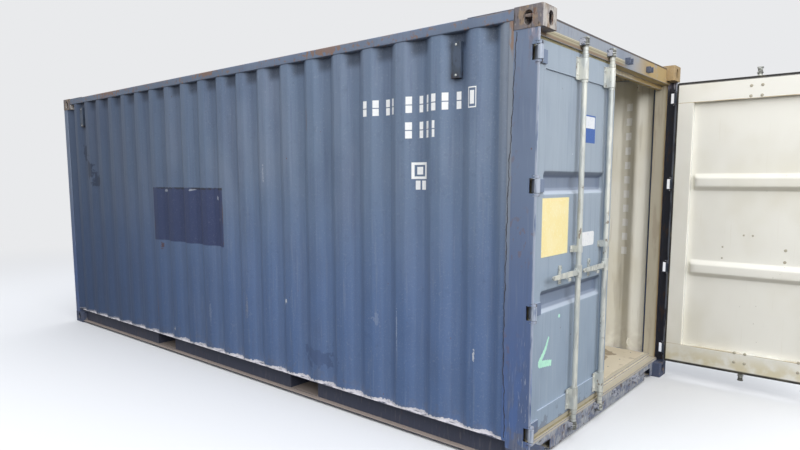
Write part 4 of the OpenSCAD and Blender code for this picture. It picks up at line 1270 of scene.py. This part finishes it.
        # Name, way they face, planes of frame and panel, heights beside the catch, radius and
        # height of one, finish and slot.
        sides = (("guide_bolts", 1, (LEAF_FRONT + 0.0045, PANEL_FRONT + 0.0045), (1.053,),
                  (0.0085, 0.0065), self.zinc, Slot.ZINC),
                 ("bolt_collars", -1, (2.9078, PANEL_FRONT - 0.0024), (1.053, 1.143),
                  (0.0115, 0.0045), self.collar, Slot.PAINT))
        for name, way, (flange, plate), catches, head, skin, slot in sides:
            spots = [(flange, -y + s * 0.037, z + t * 0.038) for y in ROD_YS for z in GUIDE_ZS
                     for s in (-1, 1) for t in (-1, 1)]
            spots += [(plate, -y + s * 0.031, HUB_Z) for y in ROD_YS for s in (-1, 1)]
            spots += [(plate, -y - 0.176, z) for y in ROD_YS for z in catches]
            basis = np.array([(0.0, way, 0.0), (0.0, 0.0, 1.0), (way, 0.0, 0.0)])
            points, faces = stamp(button_head(*head), np.array(spots), basis)
            put(f"{self.hand.value}_{name}", self.place(points), self.wind(faces), [skin],
                self.body)

    def label(self, name: str, y: Span, z: Span, corner: float, skin: bpy.types.Material,
              lift: float = 0.0007) -> None:
        """A rounded film stuck on the panel.

        Its outline is a rectangle whose corners are quarter circles; rings of that outline, shrunk
        towards the middle, follow the panel's surface at the given lift.

        Args:
            name: name of the piece.
            y: left and right edge.
            z: lower and upper edge.
            corner: corner radius.
            skin: the film's material.
            lift: height over the panel.
        """
        rings, steps = 8, 40
        turn = np.linspace(0, 2 * np.pi, steps, endpoint=False) + np.pi / steps
        half = np.array([(y[1] - y[0]) / 2 - corner, (z[1] - z[0]) / 2 - corner])
        way = np.stack([np.cos(turn), np.sin(turn)], -1)
        outline = np.sign(way) * half + way * corner
        nested = np.linspace(1, 0.02, rings)[:, None, None] * outline[None]
        at_y = (y[0] + y[1]) / 2 + nested[..., 0]
        at_z = (z[0] + z[1]) / 2 + nested[..., 1]
        points = np.stack([self.surface(at_y, at_z) + lift, at_y, at_z], -1).reshape(-1, 3)
        last = (rings - 1) * steps
        faces = grid_faces(rings, steps, True).tolist() + [list(range(last, last + steps))]
        film = put(name, self.place(points), self.wind(faces), [skin], self.body, 60)
        thicken(film, FILM)

    def sprayed(self, name: str, path: Sequence[Span], widths: Sequence[float],
                skin: bpy.types.Material) -> None:
        """A sprayed stroke on the panel: a ribbon along a smoothed path, with a wavering width.

        Args:
            name: name of the piece.
            path: points of the stroke as y and z.
            widths: width at each point.
            skin: the spray paint.
        """
        knots = np.array(path)
        t = np.linspace(0, len(knots) - 1, 60)
        centre = np.stack([np.interp(t, np.arange(len(knots)), knots[:, i]) for i in (0, 1)], -1)
        kernel = np.hanning(11)[1:-1] / np.hanning(11)[1:-1].sum()
        padded = np.concatenate([np.repeat(centre[:1], 4, 0), centre, np.repeat(centre[-1:], 4, 0)])
        centre = np.stack([np.convolve(padded[:, i], kernel, "valid") for i in (0, 1)], -1)
        ahead = np.gradient(centre, axis=0)
        ahead /= np.linalg.norm(ahead, axis=1, keepdims=True)
        across = np.stack([-ahead[:, 1], ahead[:, 0]], -1)
        wide = np.interp(t, np.arange(len(knots)), widths) * (1 + 0.12 * np.sin(t * 23.0))
        rows = np.linspace(-0.5, 0.5, 5)[:, None, None]
        flat = centre[None] + rows * across[None] * wide[None, :, None]
        at_y, at_z = flat[..., 0], flat[..., 1]
        points = np.stack([self.surface(at_y, at_z) + 0.0008, at_y, at_z], -1).reshape(-1, 3)
        stroke = put(name, self.place(points), self.wind(grid_faces(5, 60)[:, ::-1]), [skin],
                     self.body, 60)
        thicken(stroke, FILM)


@dataclass
class SteelBox:
    """Posts, rails, beams, castings and small fittings of the box itself."""

    left_seam: tuple[Span, ...] = (
        (2.873, 2.463), (2.861, 2.212), (2.854, 1.999), (2.841, 1.727), (2.835, 1.449),
        (2.834, 1.245), (2.831, 1.073), (2.828, 0.840), (2.830, 0.580), (2.842, 0.343),
        (2.843, 0.174))
    hinge_heights: tuple[float, ...] = (0.226, 0.9327, 1.6393, 2.346)
    hinge_room: float = 0.056

    def build(self, paints: dict[str, Sequence[bpy.types.Material]]) -> None:
        """Eases every solid of the box and gives it its finish.

        Args:
            paints: materials of each kind of member, the second one for its eased edges.
        """
        for node in ("lower_corner_castings", "upper_corner_castings"):
            ease(node, paints["cast"], BOX, 0.004, segments=3)
        # Names of the nodes, kind of member, slot, width of the eased edge.
        members = (("front_corner_posts door_corner_posts", "post", Slot.PAINT, 0.003),
                   ("top_side_rails front_top_rail", "rail", Slot.PAINT, 0.003),
                   ("bottom_side_rails front_bottom_rail", "low", Slot.PAINT, 0.001),
                   ("door_header", "header", Slot.PAINT, 0.002),
                   ("door_sill", "sill", Slot.PAINT, 0.002),
                   ("hinge_lugs", "lug", Slot.PAINT, 0.0015),
                   ("header_keepers sill_keepers", "gear", Slot.PAINT, 0.0015),
                   ("roof_corner_plates roof_header_plates", "rail", Slot.PAINT, 0.001),
                   ("vent_covers", "vent", Slot.VENT, 0.0015),
                   ("lashing_rings", "lining", Slot.LINING, 0.0),
                   ("cross_members fork_pockets", "low", Slot.PAINT, 0.0),
                   ("floor_boards", "ply", Slot.PLY, 0.001))
        for nodes, kind, slot, width in members:
            for node in nodes.split():
                ease(node, paints[kind], BOX, width)

    def seal(self, skin: bpy.types.Material) -> None:
        """A dark hand-laid bead of sealant down the post: an oval ring along a wavering path.

        Args:
            skin: the bead's material.
        """
        steps, sides = 260, 8
        knots = np.array(self.left_seam)[::-1]
        z = np.linspace(knots[0, 1], knots[-1, 1], steps)
        x = np.interp(z, knots[:, 1], knots[:, 0])
        x = x + 0.0022 * np.sin(z * 31.0) + 0.0014 * np.sin(z * 83.0 + 1.0)
        x = x + 0.0008 * np.sin(z * 211.0)
        wide = 0.0024 * (1 + 0.35 * np.sin(z * 47.0 + 2.0) * np.sin(z * 13.0))
        turn = np.linspace(0, 2 * np.pi, sides, endpoint=False)
        points = np.stack([x[:, None] + wide[:, None] * np.cos(turn),
                           -(SKIN_Y + 0.0016 * np.sin(turn))[None] + 0 * z[:, None],
                           np.broadcast_to(z[:, None], (steps, sides))], -1).reshape(-1, 3)
        faces = grid_faces(steps, sides, True)[:, ::-1].tolist()
        last = (steps - 1) * sides
        faces += [list(range(sides)), list(range(last, last + sides))[::-1]]
        put("post_sealant_bead", points, faces, [skin], BOX, 60)

    def cover_strips(self, skin: bpy.types.Material) -> None:
        """Steel strips that carry the posts' outer plates past the hinge pins, between hinges.

        A strip is a flat bar with a half-round front edge, carried up the post between two hinges.

        Args:
            skin: the post's paint.
        """
        steps = 9
        turn = np.linspace(-0.5, 0.5, steps) * np.pi
        nose = np.stack([3.0075 + 0.004 * np.cos(turn), -1.212 + 0.004 * np.sin(turn)], -1)
        back = np.array([(2.9812, -1.208), (2.9812, -1.216)])
        outline = np.concatenate([nose, back])
        count = len(outline)
        ends = (z + way * self.hinge_room for z in self.hinge_heights for way in (-1, 1))
        bounds = [0.1185, *ends, 2.4725]
        for side, name in ((1, "left"), (-1, "right")):
            points, faces = [], []
            for low, high in zip(bounds[::2], bounds[1::2]):
                start = len(points) * count
                for z in np.linspace(low, high, steps):
                    points.append(np.column_stack([outline * (1, side), np.full(count, z)]))
                last = start + (steps - 1) * count
                faces += (grid_faces(steps, count, True) + start).tolist()
                faces += [list(range(start, start + count))[::-1],
                          list(range(last, last + count))]
            turned = faces if side > 0 else [face[::-1] for face in faces]
            put(f"{name}_post_cover_strips", np.concatenate(points), turned, [skin], BOX,
                50)

    def screws(self, skin: bpy.types.Material) -> None:
        """Countersunk floor screws in rows over the cross members, drawn a little large to show.

        Args:
            skin: the screws' material.
        """
        x = np.arange(-2.55, 2.85, 0.28)
        y = (-1.08, -0.82, -0.56, -0.30, -0.06, 0.06, 0.30, 0.56, 0.82, 1.08)
        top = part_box("floor_boards")[1][2]
        spots = np.array(np.meshgrid(x, y, [top - 0.0002])).reshape(3, -1).T
        points, faces = stamp(button_head(0.0065, 0.0010, 10), spots, np.eye(3))
        put("floor_screws", points, faces, [skin], BOX)

    def vent_screws(self, skin: bpy.types.Material) -> None:
        """Two screws on each vent cover, high and low.

        Args:
            skin: the screws' material.
        """
        low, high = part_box("vent_covers")
        for side, name in ((-1, "left_vent_screws"), (1, "right_vent_screws")):
            spots = np.array([(x, side * (high[1] + 0.0001), z) for x in (2.4677, -2.6024)
                              for z in (low[2] + 0.018, high[2] - 0.018)])
            basis = np.array([(1.0, 0.0, 0.0), (0.0, 0.0, -side), (0.0, side, 0.0)])
            points, faces = stamp(button_head(0.007, 0.003), spots, basis)
            put(name, points, faces, [skin], BOX)


@dataclass
class Studio:
    """Pale floor, soft lamps and the camera of the photograph."""

    eye: tuple[float, float, float] = (4.572, -4.216, 1.668)
    tilt: float = 83.41
    turn: float = 40.04
    lens: float = 27.39
    rise: float = 0.0324
    pale: str = "#E9EAEC"

    def camera(self) -> None:
        """Stands the camera where the photograph was taken from."""
        data = bpy.data.cameras.new("camera")
        data.lens = self.lens
        data.sensor_width = 36.0
        data.shift_y = self.rise
        data.clip_end = 200.0
        camera = bpy.data.objects.new("camera", data)
        camera.location = self.eye
        camera.rotation_euler = (radians(self.tilt), 0.0, radians(self.turn))
        bpy.context.scene.collection.objects.link(camera)
        bpy.context.scene.camera = camera

    def ground(self) -> None:
        """A pale floor that keeps the shadow near the box and fades into the background far off."""
        mesh = bpy.data.meshes.new("studio_floor")
        corners = [(x * 90.0, y * 90.0, -0.0006) for x, y in ((-1, -1), (1, -1), (1, 1), (-1, 1))]
        mesh.from_pydata(corners, [], [(0, 1, 2, 3)])
        floor = bpy.data.objects.new("studio_floor", mesh)
        bpy.context.scene.collection.objects.link(floor)
        skin = bpy.data.materials.new("painted studio floor")
        skin.use_nodes = True
        skin.node_tree.nodes.clear()
        node = partial(add_node, skin.node_tree)
        place = node("ShaderNodeTexCoord").outputs["Object"]
        away = node("ShaderNodeVectorMath", {0: place}, operation="LENGTH").outputs["Value"]
        far = node("ShaderNodeMapRange", {0: away, 1: 4.5, 2: 13.0},
                   interpolation_type="SMOOTHSTEP").outputs[0]
        seen = node("ShaderNodeLightPath").outputs["Is Camera Ray"]
        share = node("ShaderNodeMath", {0: far, 1: seen}, operation="MULTIPLY").outputs[0]
        # Only the camera sees the floor this pale; it throws back the light of a darker one.
        paint = node("ShaderNodeMix", {0: seen, 6: linear("#76736E"), 7: linear("#E2E3E5")},
                     data_type="RGBA").outputs[2]
        matt = node("ShaderNodeBsdfDiffuse", {"Color": paint}).outputs[0]
        glow = node("ShaderNodeEmission", {"Color": linear(self.pale), "Strength": 1.0}).outputs[0]
        both = node("ShaderNodeMixShader", {0: share, 1: matt, 2: glow}).outputs[0]
        node("ShaderNodeOutputMaterial", {"Surface": both})
        mesh.materials.append(skin)

    def sky(self) -> None:
        """Even pale surroundings: plain light, and the pale background for the camera."""
        world = bpy.data.worlds.new("studio")
        world.use_nodes = True
        bpy.context.scene.world = world
        world.node_tree.nodes.clear()
        node = partial(add_node, world.node_tree)
        rays = node("ShaderNodeLightPath").outputs
        seen = rays["Is Camera Ray"]
        for kind in ("Is Glossy Ray", "Is Transmission Ray"):
            seen = node("ShaderNodeMath", {0: seen, 1: rays[kind]}, operation="MAXIMUM").outputs[0]
        way = node("ShaderNodeTexCoord").outputs["Generated"]
        up = node("ShaderNodeSeparateXYZ", {"Vector": way}).outputs["Z"]
        power = node("ShaderNodeMapRange", {0: up, 1: -0.1, 2: 0.8, 3: 0.22, 4: 1.0}).outputs[0]
        kind = "ShaderNodeBackground"
        light = node(kind, {"Color": linear("#EEF1F6"), "Strength": power}).outputs[0]
        pale = node(kind, {"Color": linear(self.pale), "Strength": 1.0}).outputs[0]
        both = node("ShaderNodeMixShader", {0: seen, 1: light, 2: pale}).outputs[0]
        node("ShaderNodeOutputWorld", {"Surface": both})

    def lamp(self, name: str, size: Span, power: float, place: Sequence[float],
             target: Sequence[float]) -> None:
        """Hangs one soft rectangular lamp.

        Args:
            name: name of the lamp.
            size: width and height in metres.
            power: watts.
            place: its middle.
            target: the point it faces.
        """
        data = bpy.data.lights.new(name, "AREA")
        data.shape = "RECTANGLE"
        data.size, data.size_y = size
        data.energy = power
        lamp = bpy.data.objects.new(name, data)
        lamp.location = place
        way = Vector(target) - Vector(place)
        lamp.rotation_euler = way.to_track_quat("-Z", "Y").to_euler()
        lamp.visible_camera = False
        bpy.context.scene.collection.objects.link(lamp)

    def build(self) -> None:
        """Sets up camera, floor, surroundings and lamps."""
        self.camera()
        self.ground()
        self.sky()
        self.lamp("overhead", (14.0, 14.0), 700.0, (0.0, 0.0, 9.0), (0.0, 0.01, 0.0))
        self.lamp("door_side", (8.0, 5.0), 560.0, (10.0, -3.4, 5.2), (2.6, 0.4, 1.0))
        self.lamp("long_side", (11.0, 5.0), 210.0, (4.5, -8.5, 5.0), (3.0, 0.6, 1.0))
        bpy.context.scene.view_settings.view_transform = "Standard"


def steel_paints() -> dict[str, list[bpy.types.Material]]:
    """Makes the finishes of the steel box.

    Returns:
        Materials of each kind of member, the second one for its eased edges.
    """
    worn = MarineEnamel("marine enamel, worn edge", base="#8F9AB0", chips=0.22).material()
    post = JambPaint("marine enamel, posts").material()
    # Rails and members low down are dark with mud and painted shade under the wall's overhang.
    low = PostPaint("marine enamel, under", base="#3B4154", deep="#343A4E", chalk="#484F62",
                    shade="#2D3242", lined=False, flange=True, low_dirt=0.12, scraped=0.10,
                    edged=0.12, chips=0.03)
    gear = KeeperPaint("marine enamel, keepers", base="#5A6172", deep="#4A597C", chips=0.2)
    rail = TopRailPaint("marine enamel, rails", chips=0.12)
    header = HeaderPaint("marine enamel, header", base="#949BA6", chips=0.03, edged=0.12)
    sill = SillPaint("marine enamel, sill", deep="#66759A", chips=0.2)
    return {"post": [post, worn], "lug": [post], "rail": [rail.material(), worn],
            "header": [header.material(), worn], "sill": [sill.material(), worn],
            "low": [low.material()], "gear": [gear.material()],
            "cast": [CastSteel("sand-cast corner steel").material()],
            "ply": [FloorPly("keruing plywood").material()],
            "vent": [MouldedPlastic("moulded vent plastic").material()]}


def film(name: str, base: str, worn: str, under: float,
         rough: float = 0.55) -> bpy.types.Material:
    """Makes the finish of a film, a stencil or a spray.

    Args:
        name: name of the material.
        base: its colour.
        worn: colour where it is worn.
        under: share of it that is worn.
        rough: roughness.

    Returns:
        The material.
    """
    return FlatFilm(name, base, rough=rough, worn=worn, under=under).material()


def mark_door(leaf: DoorLeaf) -> None:
    """Sticks the plain films on a leaf and sprays its tick and dot.

    Args:
        leaf: the left leaf.
    """
    leaf.label("yellow_sheet", (-1.030, -0.668), (1.223, 1.567), 0.004,
               film("yellow vinyl", "#F6E5A6", "#FAF1CC", 0.5))
    leaf.label("white_plate", (-0.494, -0.267), (1.243, 1.335), 0.018,
               film("white vinyl", "#E8EAEC", "#B9C2D2", 0.3))
    leaf.label("blue_film", (-0.465, -0.305), (1.908, 2.083), 0.004,
               film("blue vinyl", "#3C62A8", "#5C7CB4", 0.3))
    leaf.label("blue_film_block", (-0.455, -0.315), (2.000, 2.074), 0.004,
               film("white print", "#E6E9EE", "#AEBBD2", 0.3), 0.0011)
    spray = film("green marker spray", "#BDF2DA", "#93C4BE", 0.35)
    leaf.sprayed("sprayed_tick", ((-0.885, 0.735), (-0.93, 0.66), (-1.015, 0.585),
                                  (-0.93, 0.575), (-0.84, 0.560)),
                 (0.013, 0.028, 0.040, 0.042, 0.036), spray)
    leaf.label("sprayed_dot", (-0.765, -0.741), (0.825, 0.849), 0.0118, spray)


def main() -> None:
    """Dresses the container, piece by piece."""
    logging.basicConfig(level=logging.INFO, format="%(message)s")
    hull = MarineEnamel("marine enamel, hull").material()
    lining = CreamLining("sprayed cream lining").material()
    zinc = HotDipZinc("hot-dip galvanised steel").material()
    side = SidePaint("marine enamel, long side", base="#687B95", deep="#4E6894", low_dirt=0.25)

    left_wall = SideWall(-1, [side.material(), lining])
    left_wall.build()
    left_wall.marks(film("stencil paint", "#F6F7F8", "#C9CFD9", 0.12))
    right_wall = SideWall(1, [hull, lining])
    right_wall.build()
    right_wall.inner_marks(film("faded stencil paint", "#FFFEFA", "#E6E1D4", 0.35))
    ends = EndWall([hull, lining])
    ends.build_front()
    ends.build_roof()
    steel = SteelBox()
    paints = steel_paints()
    steel.build(paints | {"lining": [lining]})
    steel.cover_strips(paints["lug"][0])
    steel.seal(film("polyurethane sealant", "#2B2A2E", "#4B4F5E", 0.5, rough=0.7))
    steel.screws(ForgedIron("drop-forged iron").material())
    steel.vent_screws(zinc)

    rubber = GasketRubber("extruded gasket rubber").material()
    collar = film("lockbolt collars, painted", "#B9B29E", "#8F8878", 0.5)
    edge = MarineEnamel("marine enamel, leaf edges", base="#BCC5D2", deep="#A9B8CC",
                        shade="#8D99AC").material()
    blue = partial(LeafPaint, base="#9CA9B7", deep="#92A3B6", chalk="#AAB5C1", shade="#7F8CA0")
    door_lining = blue("sprayed cream lining, door sheet", line=9.0).material()
    # The axis on which the leaf's finishes change, where they do, and the back of its sheet.
    lines = {Hand.LEFT: ("x", 2.945, 2.934), Hand.RIGHT: ("y", 1.136, 1.125)}
    for hand, (axis, line, hollow) in lines.items():
        door = blue(f"marine enamel, {hand.value} sheet", axis=axis, line=-9.0, hollow=hollow)
        frame_paint = blue(f"marine enamel, {hand.value} leaf", axis=axis, line=line)
        hinge = LeafPaint(f"marine enamel, {hand.value} hinges", axis="x", line=2.90,
                          base="#74829B", deep="#6C7A94", chalk="#8D99AD", chips=0.2)
        leaf = DoorLeaf(hand, frame_paint.material(), [door.material(), door_lining], edge, zinc,
                        rubber, hinge.material(), collar)
        leaf.build_panel()
        leaf.build_steel()
        leaf.build_gasket()
        leaf.build_bolts()
        if hand is Hand.LEFT:
            mark_door(leaf)
    Studio().build()


if __name__ == "__main__":
    main()
